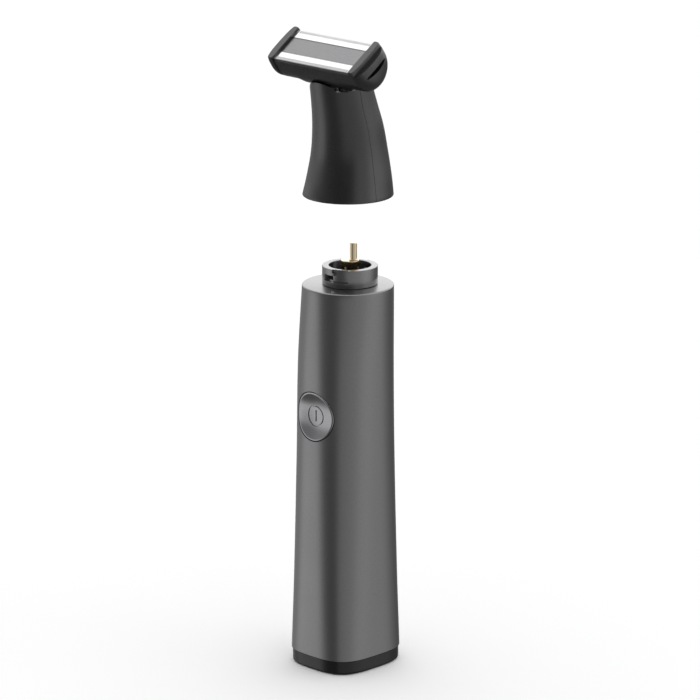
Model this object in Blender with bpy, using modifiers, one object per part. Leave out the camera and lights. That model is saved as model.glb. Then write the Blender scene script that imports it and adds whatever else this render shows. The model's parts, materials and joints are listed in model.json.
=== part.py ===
"""A cordless body groomer: handle, lift-off trimmer head and every piece inside them.

The frame: +Z is up along the handle, -Y is the button side, and +X is to the right of
someone who faces the button. The origin is the centre of the base's underside. The head stands
raised off its collar, and it comes down on the collar by SEAT_TRAVEL.
"""

import math

import bmesh
import bpy
from mathutils import Matrix, Vector

MM = 0.001

# ---- driving dimensions -------------------------------------------------------------
HANDLE_BOTTOM = 4.5 * MM
HANDLE_TOP = 119.1 * MM
HANDLE_HALF_WIDTH = 13.80 * MM
HANDLE_HALF_DEPTH = 15.15 * MM
HANDLE_TOP_RADIUS = 13.88 * MM
HANDLE_TOP_Y = 1.05 * MM
# The handle's outer form, bottom to top: height, half width, half depth, centre's Y, and
# squareness (2 is an ellipse, more is a squarer section).
HANDLE_STATIONS = (
    (HANDLE_BOTTOM, HANDLE_HALF_WIDTH, HANDLE_HALF_DEPTH, 0.0, 3.30),
    (28.0 * MM, HANDLE_HALF_WIDTH - 0.15 * MM, HANDLE_HALF_DEPTH - 0.40 * MM, 0.0, 2.90),
    (66.0 * MM, HANDLE_HALF_WIDTH - 0.30 * MM, HANDLE_HALF_DEPTH - 0.95 * MM, 0.0, 2.55),
    (95.0 * MM, HANDLE_HALF_WIDTH - 0.20 * MM, HANDLE_HALF_DEPTH - 1.15 * MM, 0.12 * MM, 2.35),
    (HANDLE_TOP, HANDLE_TOP_RADIUS, HANDLE_TOP_RADIUS, HANDLE_TOP_Y, 2.00),
)
SHELL_WALL = 1.6 * MM
SHELL_ROOF = 2.0 * MM
SHELL_TOP_EDGE = 0.35 * MM
SHELL_SEGMENTS = 48
SHELL_RINGS = 9

# How far the head stands off its seat, and the seam left when it is down.
SEAT_TRAVEL = 27.2 * MM
SEAT_GAP = 0.3 * MM
NECK_BOTTOM = HANDLE_TOP + SEAT_GAP + SEAT_TRAVEL
# The neck's outer form, round at every height: height, radius and centre's Y.
NECK_ROUNDS = (
    (NECK_BOTTOM, 13.75 * MM, HANDLE_TOP_Y),
    (NECK_BOTTOM + 5.4 * MM, 12.85 * MM, 1.55 * MM),
    (NECK_BOTTOM + 13.4 * MM, 11.55 * MM, 1.70 * MM),
    (NECK_BOTTOM + 21.4 * MM, 10.65 * MM, 0.97 * MM),
    (NECK_BOTTOM + 28.4 * MM, 9.85 * MM, -0.55 * MM),
    (NECK_BOTTOM + 35.9 * MM, 9.20 * MM, -2.40 * MM),
)
NECK_STATIONS = tuple((z, radius, radius, y, 2.0) for z, radius, y in NECK_ROUNDS)
NECK_WALL = 1.4 * MM
NECK_ROOF = 1.4 * MM
PARTING_SHIFT = 1.85 * MM
NECK_SEGMENTS = 36
NECK_RINGS = 9

BASE_CAP_INSET = 0.3 * MM
BASE_CAP_EDGE = 0.9 * MM
SCREW_X = 6.5 * MM
SCREW_Y = 7.5 * MM
SCREW_HEAD_RADIUS = 2.0 * MM
SCREW_SHANK_RADIUS = 0.9 * MM
SCREW_RECESS = 1.1 * MM
BASE_FLOOR = 2.2 * MM
SPIGOT_TOP = 9.0 * MM
SPIGOT_WALL = 1.6 * MM
GASKET_BOTTOM = 5.9 * MM
GASKET_HEIGHT = 1.0 * MM
GASKET_DEPTH = 0.7 * MM

AXIS_Y = 1.9 * MM
COLLAR_RADIUS = 8.42 * MM
COLLAR_BORE = 6.45 * MM
COLLAR_HEIGHT = 5.7 * MM
COLLAR_SPIGOT_RADIUS = 7.2 * MM
COLLAR_SPIGOT_DEPTH = 3.8 * MM
GROOVE_DEPTH = 0.9 * MM
ENTRY_DEPTH = 3.9 * MM
BRIDGE_HEIGHT = 1.9 * MM
SLEEVE_WALL = 1.48 * MM
SLEEVE_FLANGE = 1.1 * MM
ENTRY_ANGLES = (9.0, 41.0)
POCKET_ANGLES = (-21.0, 3.0)

BUTTON_HEIGHT = HANDLE_TOP - 38.75 * MM
BUTTON_HOLE_RADIUS = 7.75 * MM
BUTTON_GAP = 0.25 * MM
BUTTON_DISH_DEPTH = 1.6 * MM
BUTTON_RIM = 0.45 * MM
BUTTON_BACK_Y = -11.3 * MM
BUTTON_STEM_RADIUS = 2.4 * MM
BUTTON_TRAVEL = 0.6 * MM
SWITCH_HEIGHT = 0.9 * MM

MOTOR_RADIUS = 10.0 * MM
MOTOR_WALL = 0.8 * MM
MOTOR_LENGTH = 23.0 * MM
MOTOR_TOP = HANDLE_TOP - 8.1 * MM
MAGNET_THICKNESS = 1.5 * MM
ROTOR_RADIUS = 7.0 * MM
TERMINAL_X = 5.5 * MM
SHAFT_RADIUS = 1.0 * MM
HUB_RADIUS = 2.75 * MM
HUB_WAIST_RADIUS = 2.45 * MM
HUB_RISE = 1.6 * MM
HUB_HEIGHT = 5.6 * MM
CRANK_RADIUS = 1.05 * MM
CRANK_OFFSET = 1.5 * MM
CRANK_LENGTH = 5.5 * MM

CELL_RADIUS = 7.0 * MM
CELL_LENGTH = 49.5 * MM
CELL_BOTTOM = 19.0 * MM
CELL_Y = 3.4 * MM
BOARD_WIDTH = 15.0 * MM
BOARD_THICKNESS = 1.0 * MM
BOARD_BOTTOM = 3.2 * MM
BOARD_TOP = BUTTON_HEIGHT + 4.0 * MM
BOARD_FRONT_Y = -8.9 * MM
SOCKET_WIDTH = 8.9 * MM
SOCKET_DEPTH = 3.2 * MM
SOCKET_LENGTH = 7.3 * MM
SOCKET_BOTTOM = 0.6 * MM

BLADE_HALF_LENGTH = 15.76 * MM
BLADE_HALF_WIDTH = 6.33 * MM
BLADE_TILT = math.radians(34.5)
BLADE_CENTRE_Y = -9.17 * MM
BLADE_CENTRE_Z = NECK_BOTTOM + 45.0 * MM
PIVOT_DEPTH = 3.3 * MM
TROUGH_HALF_WIDTH = 6.75 * MM
TROUGH_DEPTH = 7.0 * MM
TROUGH_WALL = 1.2 * MM
SADDLE_DEPTH = 8.3 * MM
SADDLE_HALF_LENGTH = 7.6 * MM
SADDLE_TAPER = 3.2 * MM
RELIEF_RADIUS = 8.2 * MM
RELIEF_SHIFT_Y = 1.1 * MM
RELIEF_SHIFT_Z = -0.3 * MM
GUARD_WIDTH = 3.1 * MM
GUARD_THICKNESS = 0.4 * MM
TEETH = 34
TOOTH_SLOT = 0.42 * MM
TOOTH_LENGTH = 1.25 * MM
CAP_RADIUS = 7.1 * MM
CAP_SIDE = 1.2 * MM
CAP_DOME = 3.1 * MM
CAP_UPPER_DOME = 1.4 * MM
CAP_STEP = 2.3 * MM
CAP_RISE = 0.75 * MM

CRADLE_LOW = NECK_BOTTOM + 20.4 * MM
CRADLE_THICKNESS = 2.0 * MM
LEVER_PIVOT_Z = NECK_BOTTOM + 28.4 * MM
LEVER_PIVOT_Y = -2.7 * MM
LEVER_PIN_RADIUS = 0.9 * MM
EAR_X = 5.4 * MM
EAR_THICKNESS = 1.2 * MM
EAR_HALF_WIDTH = 1.7 * MM
RIB_X = 7.2 * MM
RIB_THICKNESS = 1.2 * MM
TRUNNION_RADIUS = 0.75 * MM

# ---- clearances ---------------------------------------------------------------------
GAP = 0.3 * MM
FINE_GAP = 0.1 * MM
BITE = 0.5 * MM

# ---- worked out from the sizes above ------------------------------------------------
NECK_TOP = NECK_STATIONS[-1][0]
MOTOR_BOTTOM = MOTOR_TOP - MOTOR_LENGTH
COLLAR_TOP = HANDLE_TOP + COLLAR_HEIGHT
SEATED_COLLAR_TOP = COLLAR_TOP + SEAT_TRAVEL
HUB_TOP = COLLAR_TOP + HUB_RISE
CRANK_TOP = HUB_TOP + CRANK_LENGTH
SEATED_HUB_TOP = HUB_TOP + SEAT_TRAVEL
SEATED_CRANK_TOP = CRANK_TOP + SEAT_TRAVEL
BAYONET_ANGLE = sum(POCKET_ANGLES) / 2
PIVOT_Y = BLADE_CENTRE_Y + PIVOT_DEPTH * math.sin(BLADE_TILT)
PIVOT_Z = BLADE_CENTRE_Z - PIVOT_DEPTH * math.cos(BLADE_TILT)
CRANK_MID_Z = SEATED_HUB_TOP + CRANK_LENGTH / 2
LEVER_ANGLE = math.asin(CRANK_OFFSET / (LEVER_PIVOT_Z - CRANK_MID_Z))
CUTTER_SHIFT = (PIVOT_Z - LEVER_PIVOT_Z) * math.tan(LEVER_ANGLE)

SWITCH_FACE_Y = BOARD_FRONT_Y - FINE_GAP - SWITCH_HEIGHT

PARTS = "body_groomer"
CUTTERS = "cutters"


# ---- scene and materials ------------------------------------------------------------
def clear_scene():
    for item in list(bpy.data.objects):
        bpy.data.objects.remove(item, do_unlink=True)
    for name in (PARTS, CUTTERS):
        group = bpy.data.collections.get(name) or bpy.data.collections.new(name)
        if group.name not in bpy.context.scene.collection.children:
            bpy.context.scene.collection.children.link(group)


def finish_of(name, colour, roughness, metallic):
    material = bpy.data.materials.new(name)
    material.use_nodes = True
    shader = material.node_tree.nodes["Principled BSDF"]
    shader.inputs["Base Color"].default_value = (*colour, 1.0)
    shader.inputs["Roughness"].default_value = roughness
    shader.inputs["Metallic"].default_value = metallic
    return material


FINISHES = {
    "shell_grey": ((0.13, 0.13, 0.135), 0.42, 0.6),
    "gloss_black": ((0.012, 0.012, 0.012), 0.12, 0.0),
    "satin_black": ((0.02, 0.02, 0.02), 0.38, 0.0),
    "collar_grey": ((0.17, 0.17, 0.175), 0.35, 0.5),
    "button_grey": ((0.30, 0.30, 0.31), 0.28, 0.8),
    "brass": ((0.72, 0.56, 0.30), 0.22, 1.0),
    "steel": ((0.62, 0.62, 0.63), 0.2, 1.0),
    "chrome_blade": ((0.86, 0.86, 0.87), 0.12, 1.0),
    "rubber": ((0.02, 0.02, 0.02), 0.8, 0.0),
    "motor_steel": ((0.50, 0.50, 0.52), 0.3, 1.0),
    "magnet": ((0.08, 0.08, 0.085), 0.6, 0.0),
    "nickel": ((0.66, 0.64, 0.60), 0.25, 1.0),
    "copper": ((0.70, 0.33, 0.18), 0.3, 1.0),
    "cell_wrap": ((0.05, 0.20, 0.42), 0.35, 0.0),
    "board_green": ((0.02, 0.13, 0.06), 0.45, 0.0),
    "chip_black": ((0.015, 0.015, 0.015), 0.5, 0.0),
    "nylon_white": ((0.72, 0.72, 0.69), 0.45, 0.0),
    "acetal_grey": ((0.36, 0.37, 0.38), 0.45, 0.0),
    "lead_red": ((0.50, 0.02, 0.02), 0.5, 0.0),
    "lead_black": ((0.02, 0.02, 0.02), 0.5, 0.0),
}


def adopt(item, finish):
    """Give a part its own material and put it in the parts' collection."""
    if finish:
        item.data.materials.clear()
        item.data.materials.append(finish_of(item.name, *FINISHES[finish]))
    else:
        item.display_type = "WIRE"
        item.hide_render = True
    for group in list(item.users_collection):
        group.objects.unlink(item)
    bpy.data.collections[PARTS if finish else CUTTERS].objects.link(item)
    return item


def object_from(name, work, finish, smooth=True):
    """Turn a bmesh into a named object; a piece with no finish is a cutter."""
    bmesh.ops.recalc_face_normals(work, faces=work.faces)
    mesh = bpy.data.meshes.new(name)
    work.to_mesh(mesh)
    work.free()
    if smooth:
        mesh.shade_smooth()
        mesh.set_sharp_from_angle(angle=math.radians(35))
    item = bpy.data.objects.new(name, mesh)
    bpy.context.scene.collection.objects.link(item)
    return adopt(item, finish)


# ---- modelling helpers --------------------------------------------------------------
def loft(name, rings, finish):
    """A closed body through rings of equal point counts, with its two ends capped."""
    work = bmesh.new()
    rows = [[work.verts.new(point) for point in ring] for ring in rings]
    for low, high in zip(rows, rows[1:]):
        for i in range(len(low)):
            j = (i + 1) % len(low)
            work.faces.new((low[i], low[j], high[j], high[i]))
    work.faces.new(list(reversed(rows[0])))
    work.faces.new(rows[-1])
    return object_from(name, work, finish)


def turned(name, profile, finish, centre=(0, 0, 0), axis="Z", segments=32, closed=False):
    """A profile of (radius, height) pairs turned about an axis through centre.

    It runs down the outer side from the top. An open profile starts and ends on the axis,
    and a closed one makes a ring.
    """
    work = bmesh.new()
    points = [work.verts.new((r, 0, h)) for r, h in profile]
    for a, b in zip(points, points[1:]):
        work.edges.new((a, b))
    if closed:
        work.edges.new((points[-1], points[0]))
    mesh = bpy.data.meshes.new(name)
    work.to_mesh(mesh)
    work.free()
    item = bpy.data.objects.new(name, mesh)
    bpy.context.scene.collection.objects.link(item)
    item.location = centre
    if axis == "X":
        item.rotation_euler = (0, math.pi / 2, 0)
    if axis == "Y":
        item.rotation_euler = (-math.pi / 2, 0, 0)
    screw = item.modifiers.new("turn", "SCREW")
    screw.steps = segments
    screw.render_steps = segments
    screw.use_merge_vertices = True
    screw.merge_threshold = 0.00001
    screw.use_smooth_shade = True
    return adopt(item, finish)


def disc(name, radius, low, high, finish, centre=(0, 0, 0), axis="Z", segments=32):
    """A plain cylinder between two heights along its axis."""
    profile = [(0, high), (radius, high), (radius, low), (0, low)]
    return turned(name, profile, finish, centre, axis, segments)


def ring(name, inner, outer, low, high, finish, centre=(0, 0, 0), axis="Z", segments=32):
    """A plain ring between two heights along its axis."""
    profile = [(inner, high), (outer, high), (outer, low), (inner, low)]
    return turned(name, profile, finish, centre, axis, segments, closed=True)


def block(name, low, high, finish, edge=0.0):
    """A box between two corners, with bevelled edges where edge is given."""
    work = bmesh.new()
    bmesh.ops.create_cube(work, size=1.0)
    size = [b - a for a, b in zip(low, high)]
    middle = [(a + b) / 2 for a, b in zip(low, high)]
    bmesh.ops.transform(work, matrix=Matrix.Diagonal((*size, 1.0)), verts=work.verts)
    bmesh.ops.translate(work, vec=middle, verts=work.verts)
    item = object_from(name, work, finish, smooth=False)
    if edge:
        bevel = item.modifiers.new("edges", "BEVEL")
        bevel.width = edge
        bevel.segments = 1
    return item


def sector(name, inner, outer, low, high, angles, finish, centre, steps=6):
    """A slice of a ring; angles are in degrees from -Y, counted towards +X."""
    rings = []
    for i in range(steps + 1):
        turn = math.radians(angles[0] + (angles[1] - angles[0]) * i / steps)
        ray = Vector((math.sin(turn), -math.cos(turn), 0))
        corners = ((inner, low), (outer, low), (outer, high), (inner, high))
        rings.append([Vector(centre) + ray * r + Vector((0, 0, z)) for r, z in corners])
    return loft(name, rings, finish)


def plate(name, outline, thickness, finish, place):
    """A flat outline of (x, y) points, thickness deep about its own plane, then placed."""
    curve = bpy.data.curves.new(name, "CURVE")
    curve.dimensions = "2D"
    curve.fill_mode = "BOTH"
    curve.extrude = thickness / 2
    spline = curve.splines.new("POLY")
    spline.points.add(len(outline) - 1)
    for point, (x, y) in zip(spline.points, outline):
        point.co = (x, y, 0, 1)
    spline.use_cyclic_u = True
    item = bpy.data.objects.new(name + "_outline", curve)
    bpy.context.scene.collection.objects.link(item)
    item.matrix_world = place
    return welded(item, name, finish)


def wire(name, points, radius, finish):
    """A round lead along smooth points, with capped ends."""
    curve = bpy.data.curves.new(name, "CURVE")
    curve.dimensions = "3D"
    curve.bevel_depth = radius
    curve.bevel_resolution = 2
    curve.use_fill_caps = True
    spline = curve.splines.new("POLY")
    spline.points.add(len(points) - 1)
    for point, place in zip(spline.points, points):
        point.co = (*place, 1)
    item = bpy.data.objects.new(name + "_path", curve)
    bpy.context.scene.collection.objects.link(item)
    return welded(item, name, finish)


def welded(source, name, finish):
    """A curve made into a mesh object whose caps are joined to it."""
    bpy.context.view_layer.update()
    graph = bpy.context.evaluated_depsgraph_get()
    mesh = bpy.data.meshes.new_from_object(source.evaluated_get(graph))
    work = bmesh.new()
    work.from_mesh(mesh)
    bmesh.ops.remove_doubles(work, verts=work.verts, dist=0.000001)
    item = object_from(name, work, finish)
    item.matrix_world = source.matrix_world.copy()
    bpy.data.objects.remove(source, do_unlink=True)
    return item


def combine(item, other, operation="DIFFERENCE"):
    """Cut a part with another object, or join one to it, by an exact Boolean."""
    change = item.modifiers.new(other.name, "BOOLEAN")
    change.operation = operation
    change.solver = "EXACT"
    change.object = other
    return item


def cut(item, *others):
    for other in others:
        combine(item, other)
    return item


def join(item, *others):
    for other in others:
        combine(item, other, "UNION")
    return item


# ---- lofted sections ----------------------------------------------------------------
def at_height(stations, z):
    """The section's sizes at a height, on a smooth curve through the stations."""
    last = len(stations) - 1
    k = max(i for i in range(last) if i == 0 or stations[i][0] <= z)
    low = stations[k]
    high = stations[k + 1]
    before = stations[max(k - 1, 0)]
    after = stations[min(k + 2, last)]
    span = high[0] - low[0]
    t = (z - low[0]) / span
    sizes = []
    for i in range(1, 5):
        rise = (high[i] - before[i]) / (high[0] - before[0]) * span
        fall = (after[i] - low[i]) / (after[0] - low[0]) * span
        start = (2 * t**3 - 3 * t**2 + 1) * low[i] + (t**3 - 2 * t**2 + t) * rise
        end = (3 * t**2 - 2 * t**3) * high[i] + (t**3 - t**2) * fall
        sizes.append(start + end)
    return sizes


def section(sizes, z, inset, segments):
    """One ring of points on a rounded section, inset from its outer form."""
    half_width, half_depth, centre_y, squareness = sizes
    points = []
    for i in range(segments):
        turn = math.tau * i / segments
        c = math.cos(turn)
        s = math.sin(turn)
        x = (half_width - inset) * math.copysign(abs(c) ** (2 / squareness), c)
        y = (half_depth - inset) * math.copysign(abs(s) ** (2 / squareness), s)
        points.append(Vector((x, centre_y + y, z)))
    return points


def steps_between(low, high, count):
    return [low + (high - low) * i / count for i in range(count + 1)]


def handle_front_y(x, z):
    """The Y of the handle's front surface at a width and a height."""
    half_width, half_depth, centre_y, squareness = at_height(HANDLE_STATIONS, z)
    share = (1 - abs(x / half_width) ** squareness) ** (1 / squareness)
    return centre_y - half_depth * share


def base_section(z, inset):
    sizes = at_height(HANDLE_STATIONS, HANDLE_BOTTOM)
    return section(sizes, z, inset, SHELL_SEGMENTS)


# ---- handle -------------------------------------------------------------------------
def make_handle_shell():
    def shell_ring(z, inset, height=None):
        sizes = at_height(HANDLE_STATIONS, z)
        return section(sizes, height or z, inset, SHELL_SEGMENTS)

    inner_top = HANDLE_TOP - SHELL_ROOF
    rings = [
        shell_ring(z, SHELL_WALL) for z in steps_between(inner_top, HANDLE_BOTTOM, SHELL_RINGS)
    ]
    outer_top = HANDLE_TOP - SHELL_TOP_EDGE
    rings += [shell_ring(z, 0) for z in steps_between(HANDLE_BOTTOM, outer_top, SHELL_RINGS)]
    rings.append(shell_ring(HANDLE_TOP, SHELL_TOP_EDGE))
    shell = loft("handle_shell", rings, "shell_grey")
    hole = disc("button_hole", BUTTON_HOLE_RADIUS, -20 * MM, -4 * MM, None,
                (0, 0, BUTTON_HEIGHT), "Y", 48)
    neck_hole = disc(
        "collar_hole", COLLAR_SPIGOT_RADIUS + FINE_GAP, inner_top - MM, HANDLE_TOP + MM, None,
        centre=(0, AXIS_Y, 0), segments=48,
    )
    cut(shell, hole, neck_hole)


def make_base_cap():
    spigot = SHELL_WALL + GAP
    groove = spigot + GASKET_DEPTH
    inside = spigot + SPIGOT_WALL
    flange_top = HANDLE_BOTTOM - FINE_GAP
    gasket_top = GASKET_BOTTOM + GASKET_HEIGHT
    rings = []
    for i in range(5):
        turn = math.pi / 2 * i / 4
        inset = BASE_CAP_EDGE * (1 - math.sin(turn))
        rings.append(base_section(BASE_CAP_EDGE * (1 - math.cos(turn)), BASE_CAP_INSET + inset))
    rings += [
        base_section(flange_top, BASE_CAP_INSET),
        base_section(flange_top, spigot),
        base_section(GASKET_BOTTOM - FINE_GAP, spigot),
        base_section(GASKET_BOTTOM - FINE_GAP, groove),
        base_section(gasket_top + FINE_GAP, groove),
        base_section(gasket_top + FINE_GAP, spigot),
        base_section(SPIGOT_TOP, spigot),
        base_section(SPIGOT_TOP, inside),
        base_section(BASE_FLOOR, inside),
    ]
    cap = loft("base_cap", rings, "gloss_black")
    middle_y = BOARD_FRONT_Y - SOCKET_DEPTH / 2
    half = (SOCKET_WIDTH / 2 + GAP, SOCKET_DEPTH / 2 + GAP)
    port = block(
        "port_cutter",
        (-half[0], middle_y - half[1], -MM),
        (half[0], middle_y + half[1], SPIGOT_TOP + MM),
        None,
    )
    cut(cap, port)
    for side, x in (("left", -1), ("right", 1)):
        place = (x * SCREW_X, SCREW_Y, 0)
        recess = disc(f"screw_recess_{side}", SCREW_HEAD_RADIUS + GAP, -MM, SCREW_RECESS, None, place,
                      segments=24)
        bore = disc(f"screw_bore_{side}", SCREW_SHANK_RADIUS + GAP, -2 * MM, BASE_FLOOR + 2 * MM,
                    None, place, segments=24)
        cut(cap, recess, bore)
        head_low = 0.15 * MM
        head_top = SCREW_RECESS - FINE_GAP
        profile = [
            (0, SPIGOT_TOP), (SCREW_SHANK_RADIUS, SPIGOT_TOP), (SCREW_SHANK_RADIUS, head_top),
            (SCREW_HEAD_RADIUS, head_top), (SCREW_HEAD_RADIUS, head_low), (0, head_low),
        ]
        screw = turned(f"base_screw_{side}", profile, "steel", place, segments=24)
        slot_length = 0.6 * SCREW_HEAD_RADIUS
        slot = block(
            f"screw_slot_{side}",
            (place[0] - slot_length, place[1] - 0.25 * MM, -MM),
            (place[0] + slot_length, place[1] + 0.25 * MM, head_low + BITE),
            None,
        )
        cut(screw, slot)
    outer = SHELL_WALL + FINE_GAP
    inner = groove - FINE_GAP
    gasket = loft(
        "base_gasket",
        [base_section(GASKET_BOTTOM, outer), base_section(gasket_top, outer)],
        "rubber",
    )
    bore = loft(
        "gasket_bore",
        [base_section(GASKET_BOTTOM - MM, inner), base_section(gasket_top + MM, inner)],
        None,
    )
    cut(gasket, bore)


def make_collar():
    """The bayonet collar, its two J-slots and the seal in its well."""
    centre = (0, AXIS_Y, 0)
    spigot_low = HANDLE_TOP - COLLAR_SPIGOT_DEPTH
    seat = HANDLE_TOP + FINE_GAP
    edge = 0.25 * MM
    profile = [
        (COLLAR_BORE, COLLAR_TOP), (COLLAR_RADIUS - edge, COLLAR_TOP),
        (COLLAR_RADIUS, COLLAR_TOP - edge), (COLLAR_RADIUS, seat),
        (COLLAR_SPIGOT_RADIUS, seat), (COLLAR_SPIGOT_RADIUS, spigot_low),
        (COLLAR_BORE, spigot_low),
    ]
    collar = turned("head_collar", profile, "collar_grey", centre, segments=48, closed=True)
    floor = COLLAR_RADIUS - GROOVE_DEPTH
    beyond = COLLAR_RADIUS + MM
    low = COLLAR_TOP - ENTRY_DEPTH
    for side, turn in (("front", 0), ("rear", 180)):
        entry = [a + turn for a in ENTRY_ANGLES]
        run = (POCKET_ANGLES[0] + turn, ENTRY_ANGLES[0] + turn + 1)
        pocket = [a + turn for a in POCKET_ANGLES]
        under = COLLAR_TOP - BRIDGE_HEIGHT
        cut(
            collar,
            sector(f"entry_{side}", floor, beyond, low, COLLAR_TOP + MM, entry, None, centre),
            sector(f"run_{side}", floor, beyond, low, under, run, None, centre),
            sector(f"pocket_{side}", COLLAR_BORE - MM, floor + BITE, low + FINE_GAP,
                   under - FINE_GAP, pocket, None, centre),
        )
    seal_low = HANDLE_TOP - SHELL_ROOF
    ring("shaft_seal", HUB_WAIST_RADIUS + GAP, COLLAR_BORE - FINE_GAP, seal_low,
         seal_low + 1.4 * MM, "rubber", centre, segments=40)


def make_button():
    """The dished push button, and the soft boot that seals it from behind."""
    rim = BUTTON_HOLE_RADIUS - BUTTON_GAP
    dish = rim - BUTTON_RIM

    def button_ring(radius):
        points = []
        for i in range(40):
            turn = math.tau * i / 40
            x = radius * math.cos(turn)
            z = BUTTON_HEIGHT + radius * math.sin(turn)
            depth = BUTTON_DISH_DEPTH * max(0.0, 1 - (radius / dish) ** 2)
            points.append(Vector((x, handle_front_y(x, z) + depth, z)))
        return points

    def flat_ring(radius, y):
        return [Vector((p.x, y, p.z)) for p in button_ring(radius)]

    rings = [button_ring(dish * share) for share in (0.12, 0.35, 0.55, 0.75, 0.9, 1.0)]
    rings.append(button_ring(rim - 0.15 * MM))
    rings.append([p + Vector((0, 0.15 * MM, 0)) for p in button_ring(rim)])
    rings.append(flat_ring(rim, BUTTON_BACK_Y))
    stem_end = SWITCH_FACE_Y - BUTTON_TRAVEL - FINE_GAP
    rings.append(flat_ring(BUTTON_STEM_RADIUS, BUTTON_BACK_Y))
    rings.append(flat_ring(BUTTON_STEM_RADIUS, stem_end))
    loft("power_button", rings, "button_grey")
    boot_low = BUTTON_BACK_Y + BUTTON_TRAVEL + GAP
    ring("button_boot", BUTTON_STEM_RADIUS + GAP, rim - MM, boot_low, boot_low + 0.4 * MM,
         "rubber", (0, 0, BUTTON_HEIGHT), "Y", 32)


def make_motor():
    centre = (0, AXIS_Y, 0)
    inner = MOTOR_RADIUS - MOTOR_WALL
    nose = 3.0 * MM
    mouth = MOTOR_BOTTOM + 0.01 * MM
    profile = [
        (nose + FINE_GAP, MOTOR_TOP), (MOTOR_RADIUS, MOTOR_TOP), (MOTOR_RADIUS, mouth),
        (inner, mouth), (inner, MOTOR_TOP - MOTOR_WALL), (nose + FINE_GAP, MOTOR_TOP - MOTOR_WALL),
    ]
    turned("motor_can", profile, "motor_steel", centre, segments=40, closed=True)
    ring("motor_bushing", SHAFT_RADIUS + FINE_GAP, nose, MOTOR_TOP - 1.6 * MM, MOTOR_TOP + 1.4 * MM,
         "brass", centre, segments=24)
    bell_top = MOTOR_BOTTOM - FINE_GAP
    bell = ring("motor_end_bell", SHAFT_RADIUS + FINE_GAP, MOTOR_RADIUS - GAP, bell_top - 2 * MM,
                bell_top, "satin_black", centre, segments=40)
    for side, x in (("left", -1), ("right", 1)):
        magnet = inner - FINE_GAP
        middle = 90.0 * x
        sector(f"motor_magnet_{side}", magnet - MAGNET_THICKNESS, magnet, MOTOR_BOTTOM + 3 * MM,
               MOTOR_TOP - 4 * MM, (middle - 55, middle + 55), "magnet", centre, 12)
        hole = block(
            f"terminal_hole_{side}",
            (x * TERMINAL_X - 0.5 * MM, AXIS_Y - 1.3 * MM, bell_top - 3 * MM),
            (x * TERMINAL_X + 0.5 * MM, AXIS_Y + 1.3 * MM, bell_top + MM),
            None,
        )
        cut(bell, hole)
        block(
            f"motor_terminal_{side}",
            (x * TERMINAL_X - 0.2 * MM, AXIS_Y - MM, bell_top - 4.2 * MM),
            (x * TERMINAL_X + 0.2 * MM, AXIS_Y + MM, bell_top - 0.2 * MM),
            "brass",
        )


def make_drive():
    """What the motor turns: shaft, rotor, commutator, brass hub and crank pin."""
    centre = (0, AXIS_Y, 0)
    hub_low = HUB_TOP - HUB_HEIGHT
    shaft_low = MOTOR_BOTTOM - 1.6 * MM
    shaft_top = HUB_TOP - 1.5 * MM
    disc("motor_shaft", SHAFT_RADIUS, shaft_low, shaft_top, "steel", centre, segments=20)
    core = ring("rotor_core", SHAFT_RADIUS + FINE_GAP, ROTOR_RADIUS, MOTOR_BOTTOM + 5 * MM,
                MOTOR_TOP - 5 * MM, "copper", centre, segments=36)
    for i in range(5):
        turn = 72.0 * i
        slot = sector(f"rotor_slot_{i}", ROTOR_RADIUS - 2.6 * MM, ROTOR_RADIUS + MM,
                      MOTOR_BOTTOM + 4 * MM, MOTOR_TOP - 4 * MM, (turn - 7, turn + 7), None, centre, 2)
        cut(core, slot)
    ring("commutator", SHAFT_RADIUS + FINE_GAP, 2.6 * MM, MOTOR_BOTTOM + MM, MOTOR_BOTTOM + 4 * MM,
         "brass", centre, segments=20)
    waist = HUB_WAIST_RADIUS
    bore = SHAFT_RADIUS + FINE_GAP
    profile = [
        (0, HUB_TOP), (HUB_RADIUS - 0.25 * MM, HUB_TOP), (HUB_RADIUS, HUB_TOP - 0.35 * MM),
        (waist, HUB_TOP - 3.2 * MM), (waist, hub_low),
        (bore, hub_low), (bore, shaft_top + FINE_GAP), (0, shaft_top + FINE_GAP),
    ]
    hub = turned("drive_hub", profile, "brass", centre, segments=36)
    place = (CRANK_OFFSET, AXIS_Y, 0)
    socket = disc("crank_socket", CRANK_RADIUS + FINE_GAP, HUB_TOP - 0.8 * MM, HUB_TOP + MM, None,
                  place, segments=24)
    cut(hub, socket)
    low = HUB_TOP - 0.8 * MM + FINE_GAP
    tip = 0.25 * MM
    profile = [
        (0, CRANK_TOP), (CRANK_RADIUS - tip, CRANK_TOP), (CRANK_RADIUS, CRANK_TOP - tip),
        (CRANK_RADIUS, low), (0, low),
    ]
    turned("crank_pin", profile, "brass", place, segments=24)


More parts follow.
